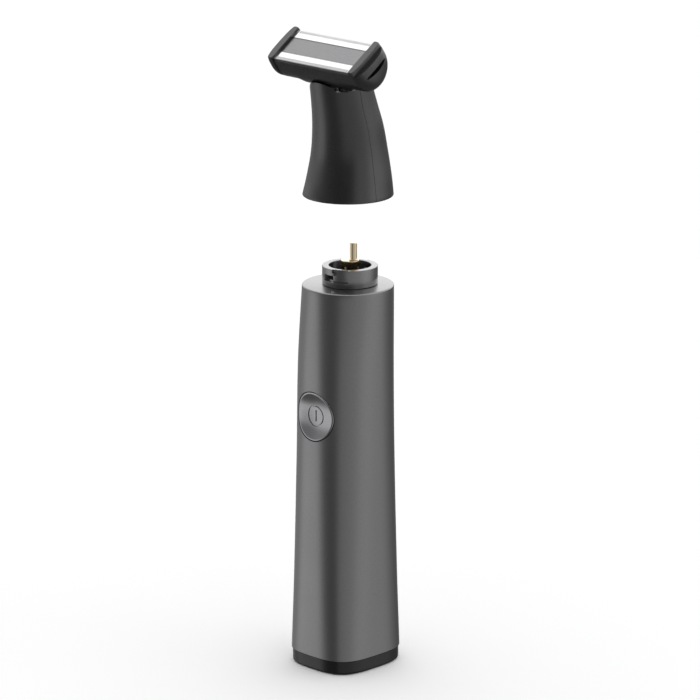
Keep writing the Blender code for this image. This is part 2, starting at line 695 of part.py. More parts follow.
def make_chassis():
    """The inner frame: a spine behind the cell, side rails and the motor's shelf."""
    shelf_low = MOTOR_TOP + FINE_GAP
    shelf_top = shelf_low + 1.6 * MM
    centre = (0, AXIS_Y, 0)
    shelf = ring("chassis", 3.0 * MM + GAP, 8.9 * MM, shelf_low, shelf_top, "nylon_white", centre,
                 segments=32)
    rail_in = MOTOR_RADIUS + GAP
    rail_out = rail_in + 1.1 * MM
    tie_low = CELL_BOTTOM + CELL_LENGTH + 2.5 * MM
    tie_top = tie_low + 1.6 * MM
    cell_back = CELL_Y + CELL_RADIUS + GAP
    spine_front = cell_back + 0.05 * MM
    spine_back = cell_back + 1.2 * MM
    for side, x in (("left", -1), ("right", 1)):
        ends = sorted((x * rail_in, x * rail_out))
        rail = block(f"rail_{side}", (ends[0], -1.5 * MM, tie_low), (ends[1], 4 * MM, shelf_top),
                     None)
        ends = sorted((x * 8.0 * MM, x * (rail_in + BITE)))
        arm = block(f"arm_{side}", (ends[0], 0, shelf_low + 0.1 * MM),
                    (ends[1], 3.5 * MM, shelf_top - 0.1 * MM), None)
        join(shelf, rail, arm)
    tie = block("rail_tie", (-rail_in - BITE, 0.5 * MM, tie_low), (rail_in + BITE, 3.5 * MM, tie_top),
                None)
    neck = block("spine_neck", (-3 * MM, 3 * MM, tie_low), (3 * MM, spine_back, tie_top), None)
    spine = block("spine", (-4.5 * MM, spine_front, SPIGOT_TOP + GAP),
                  (4.5 * MM, spine_back, tie_top - 0.1 * MM), None)
    foot_top = CELL_BOTTOM - 1.2 * MM
    foot = block("cell_foot", (-5.5 * MM, -4.5 * MM, foot_top - 1.4 * MM),
                 (5.5 * MM, spine_back - 0.1 * MM, foot_top), None)
    join(shelf, tie, neck, spine, foot)


def make_cell():
    centre = (0, CELL_Y, 0)
    top = CELL_BOTTOM + CELL_LENGTH
    edge = 0.6 * MM
    profile = [
        (0, top), (CELL_RADIUS - edge, top), (CELL_RADIUS, top - edge),
        (CELL_RADIUS, CELL_BOTTOM + edge), (CELL_RADIUS - edge, CELL_BOTTOM), (0, CELL_BOTTOM),
    ]
    turned("battery_cell", profile, "cell_wrap", centre, segments=32)
    for end, low in (("top", top + FINE_GAP), ("bottom", CELL_BOTTOM - 0.4 * MM)):
        block(
            f"battery_tab_{end}",
            (-2 * MM, CELL_Y - 9 * MM, low),
            (2 * MM, CELL_Y + 3 * MM, low + 0.3 * MM),
            "nickel",
        )


def make_board():
    back = BOARD_FRONT_Y + BOARD_THICKNESS
    block(
        "circuit_board",
        (-BOARD_WIDTH / 2, BOARD_FRONT_Y, BOARD_BOTTOM),
        (BOARD_WIDTH / 2, back, BOARD_TOP),
        "board_green",
    )
    near = BOARD_FRONT_Y - FINE_GAP
    block(
        "tact_switch",
        (-2.6 * MM, SWITCH_FACE_Y, BUTTON_HEIGHT - 2.6 * MM),
        (2.6 * MM, near, BUTTON_HEIGHT + 2.6 * MM),
        "steel",
    )
    block(
        "control_chip",
        (-3.5 * MM, back + FINE_GAP, BOARD_TOP - 13 * MM),
        (3.5 * MM, back + 1.1 * MM, BOARD_TOP - 6 * MM),
        "chip_black",
        0.15 * MM,
    )
    top = SOCKET_BOTTOM + SOCKET_LENGTH
    socket = block(
        "charge_socket",
        (-SOCKET_WIDTH / 2, near - SOCKET_DEPTH, SOCKET_BOTTOM),
        (SOCKET_WIDTH / 2, near, top),
        "steel",
    )
    wall = 0.35 * MM
    mouth = block(
        "socket_mouth",
        (-SOCKET_WIDTH / 2 + wall, near - SOCKET_DEPTH + wall, SOCKET_BOTTOM - MM),
        (SOCKET_WIDTH / 2 - wall, near - wall, top - MM),
        None,
    )
    cut(socket, mouth)
    middle = near - SOCKET_DEPTH / 2
    block(
        "socket_tongue",
        (-3.2 * MM, middle - 0.35 * MM, SOCKET_BOTTOM + 0.8 * MM),
        (3.2 * MM, middle + 0.35 * MM, top - MM - FINE_GAP),
        "chip_black",
    )


def make_leads():
    terminal = MOTOR_BOTTOM - 5.0 * MM
    back = BOARD_FRONT_Y + BOARD_THICKNESS + 0.8 * MM
    for side, x, finish in (("left", -1, "lead_red"), ("right", 1, "lead_black")):
        points = [
            (x * TERMINAL_X, AXIS_Y, terminal),
            (x * (TERMINAL_X + 0.1 * MM), AXIS_Y - 0.8 * MM, terminal - 1.5 * MM),
            (x * (TERMINAL_X + 0.4 * MM), AXIS_Y - 3.0 * MM, terminal - 2.6 * MM),
            (x * (TERMINAL_X + 0.5 * MM), AXIS_Y - 5.6 * MM, terminal - 3.0 * MM),
            (x * (TERMINAL_X + 0.5 * MM), back, terminal - 3.2 * MM),
        ]
        wire(f"motor_lead_{side}", points, 0.45 * MM, finish)


# ---- head ---------------------------------------------------------------------------
def neck_section(z, inset):
    return section(at_height(NECK_STATIONS, z), z, inset, NECK_SEGMENTS)


def make_neck_shells():
    """The two halves of the neck, parted along its sides."""
    roof_low = NECK_TOP - NECK_ROOF
    for half, side in (("front", -1), ("rear", 1)):
        rings = [neck_section(z, NECK_WALL) for z in steps_between(roof_low, NECK_BOTTOM, NECK_RINGS)]
        rings += [neck_section(z, 0) for z in steps_between(NECK_BOTTOM, NECK_TOP, NECK_RINGS)]
        shell = loft(f"neck_{half}_shell", rings, "satin_black")
        edge = side * FINE_GAP / 2 - PARTING_SHIFT
        outline = [(y + edge, z) for z, _, _, y, _ in NECK_STATIONS]
        outline[0] = (outline[0][0], NECK_BOTTOM - 5 * MM)
        outline[-1] = (outline[-1][0], NECK_TOP + 5 * MM)
        far = -side * 30 * MM
        outline += [(far, NECK_TOP + 5 * MM), (far, NECK_BOTTOM - 5 * MM)]
        upright = Matrix(((0, 0, 1, 0), (1, 0, 0, 0), (0, 1, 0, 0), (0, 0, 0, 1)))
        away = plate(f"neck_{half}_parting", outline, 50 * MM, None, upright)
        relief = disc(
            f"neck_{half}_relief", RELIEF_RADIUS, -16 * MM, 16 * MM, None,
            (0, PIVOT_Y + RELIEF_SHIFT_Y, PIVOT_Z + RELIEF_SHIFT_Z), "X", 64,
        )
        window = block(
            f"neck_{half}_window",
            (-8.0 * MM, PIVOT_Y - 2.5 * MM, roof_low - MM),
            (8.0 * MM, PIVOT_Y + 6.0 * MM, NECK_TOP + MM),
            None,
        )
        cut(shell, away, relief, window)


def make_coupling():
    """The socket in the neck, the sprung tongues that catch the collar, and its seal."""
    centre = (0, AXIS_Y, 0)
    low = NECK_BOTTOM + BITE
    bore = COLLAR_RADIUS + GAP
    seal_low = SEATED_COLLAR_TOP + SEAT_GAP
    seal_top = seal_low + 1.1 * MM
    top = seal_top + 2.2 * MM
    step = seal_top + FINE_GAP
    outer = bore + SLEEVE_WALL
    flange = outer + SLEEVE_FLANGE
    profile = [
        (COLLAR_BORE + GAP, top), (outer, top), (outer, low + MM), (flange, low + MM),
        (flange, low), (bore, low), (bore, step), (COLLAR_BORE + GAP, step),
    ]
    sleeve = turned("coupling_sleeve", profile, "acetal_grey", centre, segments=48, closed=True)
    ring("neck_seal_ring", COLLAR_BORE + GAP, bore - FINE_GAP, seal_low, seal_top, "rubber",
         centre, segments=48)
    lug_top = SEATED_COLLAR_TOP - BRIDGE_HEIGHT - 0.2 * MM
    lug_low = SEATED_COLLAR_TOP - ENTRY_DEPTH + 0.2 * MM
    for side, turn in (("front", 0), ("rear", 180)):
        middle = BAYONET_ANGLE + turn
        window = sector(f"tongue_window_{side}", bore - MM, outer + MM, lug_low - GAP,
                        lug_top + GAP, (middle - 9, middle + 9), None, centre, 4)
        cut(sleeve, window)
        sector(f"latch_tongue_{side}", COLLAR_RADIUS - GROOVE_DEPTH + 0.2 * MM, outer - FINE_GAP,
               lug_low, lug_top, (middle - 7, middle + 7), "acetal_grey", centre, 4)


def make_cradle():
    """The neck's inner frame: a plate, the lever pin's cheeks and the cartridge's ears."""
    plate_low = CRADLE_LOW
    plate_top = CRADLE_LOW + CRADLE_THICKNESS
    sizes = at_height(NECK_STATIONS, plate_top)
    centre = (0, sizes[2], 0)
    radius = sizes[0] - NECK_WALL - GAP
    base = disc("neck_cradle", radius, plate_low, plate_top, "acetal_grey", centre, segments=40)
    gate = block("lever_gate", (-3.4 * MM, -3.6 * MM, plate_low - MM),
                 (3.4 * MM, 4.2 * MM, LEVER_PIVOT_Z - 3.2 * MM), None)
    cheek_top = LEVER_PIVOT_Z + 2.2 * MM
    for side, y in (("front", LEVER_PIVOT_Y - 3.6 * MM), ("rear", LEVER_PIVOT_Y + 2.3 * MM)):
        cheek = block(f"cheek_{side}", (-4.4 * MM, y, plate_top - BITE),
                      (4.4 * MM, y + 1.3 * MM, cheek_top), None)
        join(base, cheek)
    pin_hole = disc("lever_pin_bore", LEVER_PIN_RADIUS + FINE_GAP, -9 * MM, 9 * MM, None,
                    (0, LEVER_PIVOT_Y, LEVER_PIVOT_Z), "Y", 20)
    ear_y = -2.2 * MM
    lean = math.atan2(PIVOT_Y - ear_y, PIVOT_Z - plate_top)
    length = math.hypot(PIVOT_Y - ear_y, PIVOT_Z - plate_top)
    round_end = EAR_HALF_WIDTH
    outline = [(-round_end, -BITE), (round_end, -BITE)]
    outline += [
        (round_end * math.cos(math.pi * i / 10), length + round_end * math.sin(math.pi * i / 10))
        for i in range(11)
    ]
    upright = Matrix(((0, 0, 1, 0), (1, 0, 0, 0), (0, 1, 0, 0), (0, 0, 0, 1)))
    for side, x in (("left", -1), ("right", 1)):
        place = (
            Matrix.Translation((x * EAR_X, ear_y, plate_top))
            @ Matrix.Rotation(-lean, 4, "X")
            @ upright
        )
        ear = plate(f"ear_{side}", outline, EAR_THICKNESS, None, place)
        join(base, ear)
    trunnion = disc("trunnion_bore", TRUNNION_RADIUS + FINE_GAP, -12 * MM, 12 * MM, None,
                    (0, PIVOT_Y, PIVOT_Z), "X", 20)
    cut(base, gate, pin_hole, trunnion)
    disc("lever_pivot_pin", LEVER_PIN_RADIUS, -3.8 * MM, 3.8 * MM, "steel",
         (0, LEVER_PIVOT_Y, LEVER_PIVOT_Z), "Y", 20)
    for side, x in (("left", -1), ("right", 1)):
        ends = sorted((x * (EAR_X - EAR_THICKNESS / 2 - 0.3 * MM), x * (RIB_X + RIB_THICKNESS / 2)))
        disc(f"pivot_pin_{side}", TRUNNION_RADIUS, ends[0], ends[1], "steel",
             (0, PIVOT_Y, PIVOT_Z), "X", 20)


def make_lever():
    """The rocking lever, in the place where the crank holds its fork furthest to +X."""
    fork_low = SEATED_HUB_TOP + 0.6 * MM
    fork_top = SEATED_CRANK_TOP + MM
    slot = CRANK_RADIUS + 0.2 * MM
    tine = 1.2 * MM
    reach_y = CRANK_OFFSET + CRANK_RADIUS + 0.4 * MM
    lean = math.atan2(AXIS_Y - PIVOT_Y, PIVOT_Z - fork_top)
    turn = Matrix.Rotation(-LEVER_ANGLE, 4, "Y")
    pivot = Matrix.Translation((0, LEVER_PIVOT_Y, LEVER_PIVOT_Z))
    place = pivot @ turn @ pivot.inverted()
    width = slot + tine
    body = block("drive_lever", (-width, AXIS_Y - reach_y, fork_low),
                 (width, AXIS_Y + reach_y, fork_top + 1.8 * MM), "nylon_white")
    gap = block("fork_gap", (-slot, AXIS_Y - reach_y - MM, fork_low - MM),
                (slot, AXIS_Y + reach_y + MM, fork_top), None)
    cut(body, gap)
    start = Vector((0, AXIS_Y, fork_top + 0.9 * MM))
    end = Vector((0, PIVOT_Y, PIVOT_Z))
    length = (end - start).length
    shank = disc("lever_shank", 0.95 * MM, 0, length, None, tuple(start), segments=16)
    shank.rotation_euler = (lean, 0, 0)
    ball = turned(
        "lever_ball",
        [(1.05 * MM * math.sin(math.pi * i / 8), 1.05 * MM * math.cos(math.pi * i / 8))
         for i in range(9)],
        None, tuple(end), segments=16,
    )
    boss = disc("lever_boss", 2.0 * MM, -2.0 * MM, 2.0 * MM, None,
                (0, LEVER_PIVOT_Y, LEVER_PIVOT_Z), "Y", 24)
    bore = disc("lever_bore", LEVER_PIN_RADIUS + FINE_GAP, -9 * MM, 9 * MM, None,
                (0, LEVER_PIVOT_Y, LEVER_PIVOT_Z), "Y", 20)
    join(body, shank, ball, boss)
    cut(body, bore)
    bpy.context.view_layer.update()
    for item in (body, gap, shank, ball, boss, bore):
        item.matrix_world = place @ item.matrix_world


# ---- cartridge ----------------------------------------------------------------------
def into_cartridge(items):
    """Carry pieces from the cartridge's own frame, origin on its pivot, to their place."""
    axis = bpy.data.objects.new("cartridge_axis", None)
    bpy.data.collections[PARTS].objects.link(axis)
    axis.location = (0, PIVOT_Y, PIVOT_Z)
    axis.rotation_euler = (BLADE_TILT, 0, 0)
    for item in items:
        item.parent = axis


def trough_ring(x, half_width, depth, lower):
    """A U across the cartridge: nearly straight sides over a bottom of the given power."""
    points = []
    for i in range(48):
        turn = math.tau * i / 48
        across = math.cos(turn)
        rise = math.sin(turn)
        power = 2 / (3.5 if rise > 0 else lower)
        height = half_width if rise > 0 else depth
        points.append(Vector((
            x,
            half_width * math.copysign(abs(across) ** power, across),
            height * math.copysign(abs(rise) ** power, rise),
        )))
    return points


def make_frame():
    """The U-shaped trough, with its deeper saddle over the neck and its pivot ribs."""
    end = BLADE_HALF_LENGTH
    inner = TROUGH_DEPTH - TROUGH_WALL
    stations = [(end, TROUGH_DEPTH)]
    for i in range(5):
        share = i / 4
        swell = (1 - math.cos(math.pi * share)) / 2
        stations.append((
            SADDLE_HALF_LENGTH + SADDLE_TAPER * (1 - share),
            TROUGH_DEPTH + (SADDLE_DEPTH - TROUGH_DEPTH) * swell,
        ))
    stations = [(-x, depth) for x, depth in stations] + list(reversed(stations))
    rings = [trough_ring(x, TROUGH_HALF_WIDTH, depth, 2.3) for x, depth in stations]
    frame = loft("cartridge_frame", rings, "satin_black")
    rings = [trough_ring(x, TROUGH_HALF_WIDTH - TROUGH_WALL, inner, 2.3) for x in (-end - MM, end + MM)]
    hollow = loft("frame_hollow", rings, None)
    cut(frame, hollow)
    far = 20 * MM
    deck = PIVOT_DEPTH - GUARD_THICKNESS - FINE_GAP
    above = block("deck_cutter", (-far, -far, deck), (far, far, far), None)
    cut(frame, above)
    opening = RIB_X - RIB_THICKNESS / 2 - 0.2 * MM
    well = sector_x("frame_well", inner - 2 * MM, SADDLE_DEPTH + MM, -opening, opening,
                    (-10.0, 50.0))
    shelf_z = PIVOT_DEPTH - GUARD_THICKNESS - 1.0 * MM
    pocket = block("cutter_pocket", (-far, -BLADE_HALF_WIDTH + GAP, shelf_z),
                   (far, BLADE_HALF_WIDTH - GAP, far), None)
    cut(frame, well, pocket)
    for side, x in (("left", -1), ("right", 1)):
        rib = block(
            f"rib_{side}",
            (x * RIB_X - RIB_THICKNESS / 2, -2.4 * MM, -inner - BITE),
            (x * RIB_X + RIB_THICKNESS / 2, 2.4 * MM, 1.6 * MM),
            None,
        )
        join(frame, rib)
    bore = disc("rib_bore", TRUNNION_RADIUS + FINE_GAP, -12 * MM, 12 * MM, None, axis="X",
                segments=20)
    cut(frame, bore)
    names = ["cartridge_frame", "frame_hollow", "deck_cutter", "frame_well", "cutter_pocket"]
    return names + ["rib_left", "rib_right", "rib_bore"]


def sector_x(name, inner, outer, low, high, angles, finish=None, steps=8):
    """A slice of a ring about the X axis; angles are from -Z, counted towards -Y."""
    rings = []
    for i in range(steps + 1):
        turn = math.radians(angles[0] + (angles[1] - angles[0]) * i / steps)
        ray = Vector((0, -math.sin(turn), -math.cos(turn)))
        corners = ((inner, low), (outer, low), (outer, high), (inner, high))
        rings.append([ray * r + Vector((x, 0, 0)) for r, x in corners])
    return loft(name, rings, finish)


def cap_dome(name, side, radius, dome, finish):
    """A domed end of the cartridge, on the side given by -1 or 1."""
    start = BLADE_HALF_LENGTH + 0.15 * MM
    stations = [(start, radius)]
    for i in range(7):
        turn = math.radians(13.5 * i)
        stations.append((start + CAP_SIDE + dome * math.sin(turn), radius * math.cos(turn)))
    stations[-1] = (start + CAP_SIDE + dome, stations[-1][1])
    rings = [trough_ring(side * x, r, r, 2.0) for x, r in stations]
    return loft(name, rings, finish)


def make_end_caps():
    """The stepped end caps: a full dome below and a flatter one under the deck."""
    names = []
    for side, x in (("left", -1), ("right", 1)):
        cap = cap_dome(f"end_cap_{side}", x, CAP_RADIUS, CAP_DOME, "satin_black")
        inner = cap_dome(f"cap_upper_{side}", x, CAP_RADIUS + GAP, CAP_UPPER_DOME, None)
        ends = sorted((x * (BLADE_HALF_LENGTH + CAP_SIDE / 2), x * (BLADE_HALF_LENGTH + 9 * MM)))
        shoulder = block(
            f"cap_shoulder_{side}",
            (ends[0], -20 * MM, CAP_STEP),
            (ends[1], 20 * MM, 20 * MM),
            None,
        )
        cut(shoulder, inner)
        above = block(
            f"cap_deck_{side}",
            (x * 18 * MM - 6 * MM, -20 * MM, PIVOT_DEPTH + CAP_RISE),
            (x * 18 * MM + 6 * MM, 20 * MM, 20 * MM),
            None,
        )
        cut(cap, shoulder, above)
        names += [cap.name, inner.name, shoulder.name, above.name]
    return names


def comb(length, width, slots, slot_width, slot_depth):
    """A strip's outline with slots along its outer edge, at -Y."""
    pitch = length / slots
    points = [(length / 2, 0), (-length / 2, 0), (-length / 2, -width)]
    for i in range(slots):
        middle = -length / 2 + pitch * (i + 0.5)
        points += [
            (middle - slot_width / 2, -width),
            (middle - slot_width / 2, -width + slot_depth),
            (middle + slot_width / 2, -width + slot_depth),
            (middle + slot_width / 2, -width),
        ]
    points.append((length / 2, -width))
    return points


def make_blades():
    """The slotted guards, the panel between them and the cutters under them."""
    names = []
    inner_edge = BLADE_HALF_WIDTH - GUARD_WIDTH
    length = 2 * BLADE_HALF_LENGTH
    guard_low = PIVOT_DEPTH - GUARD_THICKNESS
    outline = comb(length, GUARD_WIDTH, TEETH, TOOTH_SLOT, TOOTH_LENGTH)
    cutter_thickness = 0.5 * MM
    cutter_top = guard_low - FINE_GAP
    cutter_length = length - 2 * CUTTER_SHIFT - 0.8 * MM
    cutter_outline = comb(cutter_length, GUARD_WIDTH - 0.8 * MM, TEETH // 2, TOOTH_SLOT * 1.6,
                          TOOTH_LENGTH)
    for end, turn in (("front", 0.0), ("rear", math.pi)):
        spin = Matrix.Rotation(turn, 4, "Z")
        lift = Matrix.Translation((0, -inner_edge, guard_low + GUARD_THICKNESS / 2))
        guard = plate(f"guard_{end}", outline, GUARD_THICKNESS, "chrome_blade", spin @ lift)
        shift = Matrix.Translation((-CUTTER_SHIFT, 0, 0))
        drop = Matrix.Translation((0, -inner_edge - GAP, cutter_top - cutter_thickness / 2))
        cutter = plate(f"cutter_{end}", cutter_outline, cutter_thickness, "steel",
                       shift @ spin @ drop)
        names += [guard.name, cutter.name]
    block(
        "center_panel",
        (-BLADE_HALF_LENGTH, -inner_edge + FINE_GAP, PIVOT_DEPTH - 0.9 * MM),
        (BLADE_HALF_LENGTH, inner_edge - FINE_GAP, PIVOT_DEPTH - 0.1 * MM),
        "satin_black",
    )
    names.append("center_panel")
    names += make_carrier(cutter_top - cutter_thickness - FINE_GAP, cutter_length)
    return names


def make_carrier(top, length):
    """The slide under both cutters, whose yoke takes the lever's ball."""
    thickness = 1.1 * MM
    half = length / 2 - MM
    low = top - thickness
    carrier = block(
        "cutter_carrier",
        (-CUTTER_SHIFT - half, -4.6 * MM, low),
        (-CUTTER_SHIFT + half, 4.6 * MM, top),
        "acetal_grey",
    )
    names = ["cutter_carrier"]
    window_in = EAR_X - EAR_THICKNESS / 2 - CUTTER_SHIFT - GAP
    window_out = RIB_X + RIB_THICKNESS / 2 + CUTTER_SHIFT + GAP
    for side, x in (("left", -1), ("right", 1)):
        ends = sorted((x * window_in, x * window_out))
        window = block(
            f"carrier_window_{side}",
            (ends[0] - CUTTER_SHIFT, -2.9 * MM, low - MM),
            (ends[1] - CUTTER_SHIFT, 2.9 * MM, top + MM),
            None,
        )
        cut(carrier, window)
        prong_in = 1.25 * MM
        ends = sorted((x * prong_in, x * (prong_in + 1.2 * MM)))
        prong = block(
            f"yoke_prong_{side}",
            (ends[0] - CUTTER_SHIFT, -1.8 * MM, -1.7 * MM),
            (ends[1] - CUTTER_SHIFT, 1.8 * MM, low + BITE),
            None,
        )
        join(carrier, prong)
        names += [window.name, prong.name]
    return names


def make_groomer():
    clear_scene()
    make_handle_shell()
    make_base_cap()
    make_collar()
    make_button()
    make_motor()
    make_drive()
    make_chassis()
    make_cell()
    make_board()
    make_leads()
    make_neck_shells()
    make_coupling()
    make_cradle()
    make_lever()
    names = make_frame() + make_end_caps() + make_blades()
    into_cartridge([bpy.data.objects[name] for name in names])


make_groomer()
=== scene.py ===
"""The looks of the body groomer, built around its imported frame.

The outer pieces are remade here as fine meshes on the frame's own sizes, and the inner ones
keep their frame solids. Every piece gets a procedural finish.
"""

import json
import math

import bmesh
import bpy
from mathutils import Matrix, Vector


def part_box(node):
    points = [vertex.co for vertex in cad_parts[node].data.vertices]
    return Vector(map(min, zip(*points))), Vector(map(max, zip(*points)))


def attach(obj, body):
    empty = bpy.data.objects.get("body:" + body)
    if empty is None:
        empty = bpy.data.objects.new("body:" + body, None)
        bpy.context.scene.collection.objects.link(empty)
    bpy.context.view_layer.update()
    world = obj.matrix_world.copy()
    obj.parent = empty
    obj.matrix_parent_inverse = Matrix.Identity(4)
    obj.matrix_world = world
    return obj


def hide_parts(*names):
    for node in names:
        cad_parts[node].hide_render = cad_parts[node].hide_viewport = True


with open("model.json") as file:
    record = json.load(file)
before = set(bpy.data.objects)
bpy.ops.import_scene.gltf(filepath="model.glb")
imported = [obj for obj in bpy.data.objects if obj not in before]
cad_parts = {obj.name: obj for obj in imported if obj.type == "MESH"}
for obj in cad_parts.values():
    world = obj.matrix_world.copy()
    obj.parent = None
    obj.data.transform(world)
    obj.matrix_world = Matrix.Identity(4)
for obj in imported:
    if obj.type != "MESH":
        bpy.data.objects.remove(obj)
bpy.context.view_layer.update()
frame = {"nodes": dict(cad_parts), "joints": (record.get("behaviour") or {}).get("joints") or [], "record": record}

MM = 0.001

# ---- form: height, half width, half depth, centre's Y and squareness, in millimetres ----
HANDLE_FORM = (
    (4.5, 13.80, 15.15, 0.00, 3.30),
    (28.0, 13.65, 14.75, 0.00, 2.90),
    (66.0, 13.50, 14.20, 0.00, 2.55),
    (95.0, 13.60, 14.00, 0.12, 2.35),
    (119.1, 13.88, 13.88, 1.05, 2.00),
)
NECK_FORM = (
    (146.6, 13.75, 13.75, 1.05, 2.0),
    (152.0, 12.85, 12.85, 1.55, 2.0),
    (160.0, 11.55, 11.55, 1.70, 2.0),
    (168.0, 10.65, 10.65, 0.97, 2.0),
    (175.0, 9.85, 9.85, -0.55, 2.0),
    (182.5, 9.20, 9.20, -2.40, 2.0),
)
AROUND = 128
HANDLE_ROWS = 64
NECK_ROWS = 48

# ---- sizes read from the frame ----------------------------------------------------------
def extent(node, axis):
    low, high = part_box(node)
    return high[axis] - low[axis]


def middle(node):
    low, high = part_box(node)
    return Vector([(a + b) / 2 for a, b in zip(low, high)])


X, Y, Z = range(3)
AXIS_Y = middle("drive_hub").y
COLLAR_RADIUS = extent("head_collar", X) / 2
COLLAR_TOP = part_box("head_collar")[1][Z]
SHELL_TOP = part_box("handle_shell")[1][Z]
HUB_RADIUS = extent("drive_hub", X) / 2
HUB_LOW, HUB_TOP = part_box("drive_hub")[0][Z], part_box("drive_hub")[1][Z]
PIN_RADIUS = extent("crank_pin", X) / 2
PIN_MIDDLE = middle("crank_pin")
PIN_LOW, PIN_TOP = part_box("crank_pin")[0][Z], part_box("crank_pin")[1][Z]
BUTTON_RADIUS = extent("power_button", X) / 2
BUTTON_Z = middle("power_button").z
BUTTON_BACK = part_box("power_button")[1][Y]
BLADE_HALF_LENGTH = extent("center_panel", X) / 2
PIVOT = next(j for j in frame["joints"] if j["name"] == "cartridge_pivot")["pos_m"]

# ---- sizes of the detail ----------------------------------------------------------------
FIT = 0.1 * MM
FAR = 20 * MM
SHELL_WALL = 1.6 * MM
SHELL_ROOF = 2.0 * MM
SHELL_EDGE = 0.45 * MM
FOOT_INSET = 0.3 * MM
FOOT_EDGE = 0.9 * MM
FOOT_LIP = 0.15 * MM
FOOT_FLOOR = 2.2 * MM
FOOT_SPIGOT_INSET = 1.9 * MM
FOOT_SPIGOT_WALL = 1.6 * MM
PORT_GAP = 0.3 * MM
RECESS_RADIUS = 2.3 * MM
RECESS_DEPTH = 1.1 * MM
SCREW_BORE = 1.2 * MM
SCREW_BORE_TOP = 4.2 * MM
BUTTON_HOLE = BUTTON_RADIUS + 0.25 * MM
DISH_DEPTH = 1.6 * MM
BUTTON_RIM = 0.45 * MM
BUTTON_EDGE = 0.18 * MM
BUTTON_STEM = 2.4 * MM
STEM_LENGTH = 0.7 * MM
BOOT_BORE = 2.7 * MM
LIP_TOP = 0.40 * MM
LIP_BOTTOM = 1.0 * MM
LIP_GAP = 0.01 * MM
ICON_RADIUS = 3.1 * MM
ICON_LINE = 0.44 * MM
ICON_DEPTH = 0.26 * MM
ICON_SLOPE = 0.06 * MM
ICON_BAR = 3.65 * MM
ICON_BAR_WIDTH = 0.62 * MM
NECK_WALL = 1.4 * MM
NECK_ROOF = 1.4 * MM
NECK_EDGE = 0.35 * MM
WINDOW_HALF_WIDTH = 8 * MM
WINDOW_FRONT = 2.5 * MM
WINDOW_REAR = 6 * MM
PARTING = 0.1 * MM
PARTING_SHIFT = 1.85 * MM
COLLAR_BORE = 6.45 * MM
COLLAR_SPIGOT = 7.2 * MM
GROOVE_DEPTH = 0.9 * MM
ENTRY_DEPTH = 3.9 * MM
BRIDGE_HEIGHT = 1.9 * MM
NOTCH_DEPTH = 1.0 * MM
HUB_WAIST = 2.45 * MM
HUB_BORE = 1.1 * MM
PIN_SOCKET_DEPTH = 0.75 * MM
PIN_COLLAR_WIDTH = 0.3 * MM
PIN_COLLAR_HEIGHT = 0.45 * MM
ENTRY = (9.0, 41.0)
POCKET = (-21.0, 3.0)
BLADE_TILT = math.radians(34.5)
BLADE_HALF_WIDTH = 6.33 * MM
DECK = 3.3 * MM
TROUGH_HALF_WIDTH = 6.75 * MM
TROUGH_DEPTH = 7.0 * MM
TROUGH_WALL = 1.2 * MM
SADDLE_DEPTH = 8.3 * MM
SADDLE_HALF_LENGTH = 7.6 * MM
SADDLE_TAPER = 3.2 * MM
RELIEF_RADIUS = 8.2 * MM
RELIEF_SHIFT = Vector((0, 1.1 * MM, -0.3 * MM))
GUARD_WIDTH = 3.1 * MM
GUARD_THICKNESS = 0.4 * MM
PANEL_THICKNESS = 0.8 * MM
TEETH = 34
TOOTH_SLOT = 0.42 * MM
TOOTH_LENGTH = 1.25 * MM
TOOTH_CHAMFER = 0.08 * MM
TOOTH_TIP = 0.12 * MM
WELL_HALF_LENGTH = 6.4 * MM
RIB_X = 7.2 * MM
RIB_HALF_THICKNESS = 0.6 * MM
RIB_HALF_WIDTH = 2.4 * MM
RIB_TOP = 1.6 * MM
RIB_BORE = 0.85 * MM
CAP_RADIUS = 7.1 * MM
CAP_START = BLADE_HALF_LENGTH + 0.15 * MM
CAP_SIDE = 1.2 * MM
CAP_DOME = 3.1 * MM
CAP_UPPER_DOME = 1.4 * MM
CAP_STEP = 2.3 * MM
CAP_RISE = 0.75 * MM
CAP_LEAD = 0.2 * MM
GROOVE_RADIUS = 6.2 * MM
GROOVE_HALF_HEIGHT = 0.8 * MM
GROOVE_PLACE = Vector((23.6 * MM, 0.4 * MM, -0.4 * MM))

CARTRIDGE_PLACE = Matrix.Translation(PIVOT) @ Matrix.Rotation(BLADE_TILT, 4, "X")
AXIS = Vector((0, AXIS_Y, 0))


# ---- mesh helpers -----------------------------------------------------------------------
def shown(name, mesh, smooth_angle=35):
    """A mesh made into a piece in the scene, shaded smooth up to an angle."""
    mesh.shade_smooth()
    mesh.set_sharp_from_angle(angle=math.radians(smooth_angle))
    piece = bpy.data.objects.new(name, mesh)
    bpy.context.scene.collection.objects.link(piece)
    return piece


def from_bmesh(name, work):
    bmesh.ops.recalc_face_normals(work, faces=work.faces)
    mesh = bpy.data.meshes.new(name)
    work.to_mesh(mesh)
    work.free()
    return shown(name, mesh)


def loft(name, rings):
    """A closed body through rings of equal point counts, with its two ends capped."""
    work = bmesh.new()
    rows = [[work.verts.new(point) for point in ring] for ring in rings]
    for low, high in zip(rows, rows[1:]):
        for i in range(len(low)):
            j = (i + 1) % len(low)
            work.faces.new((low[i], low[j], high[j], high[i]))
    work.faces.new(list(reversed(rows[0])))
    work.faces.new(rows[-1])
    return from_bmesh(name, work)


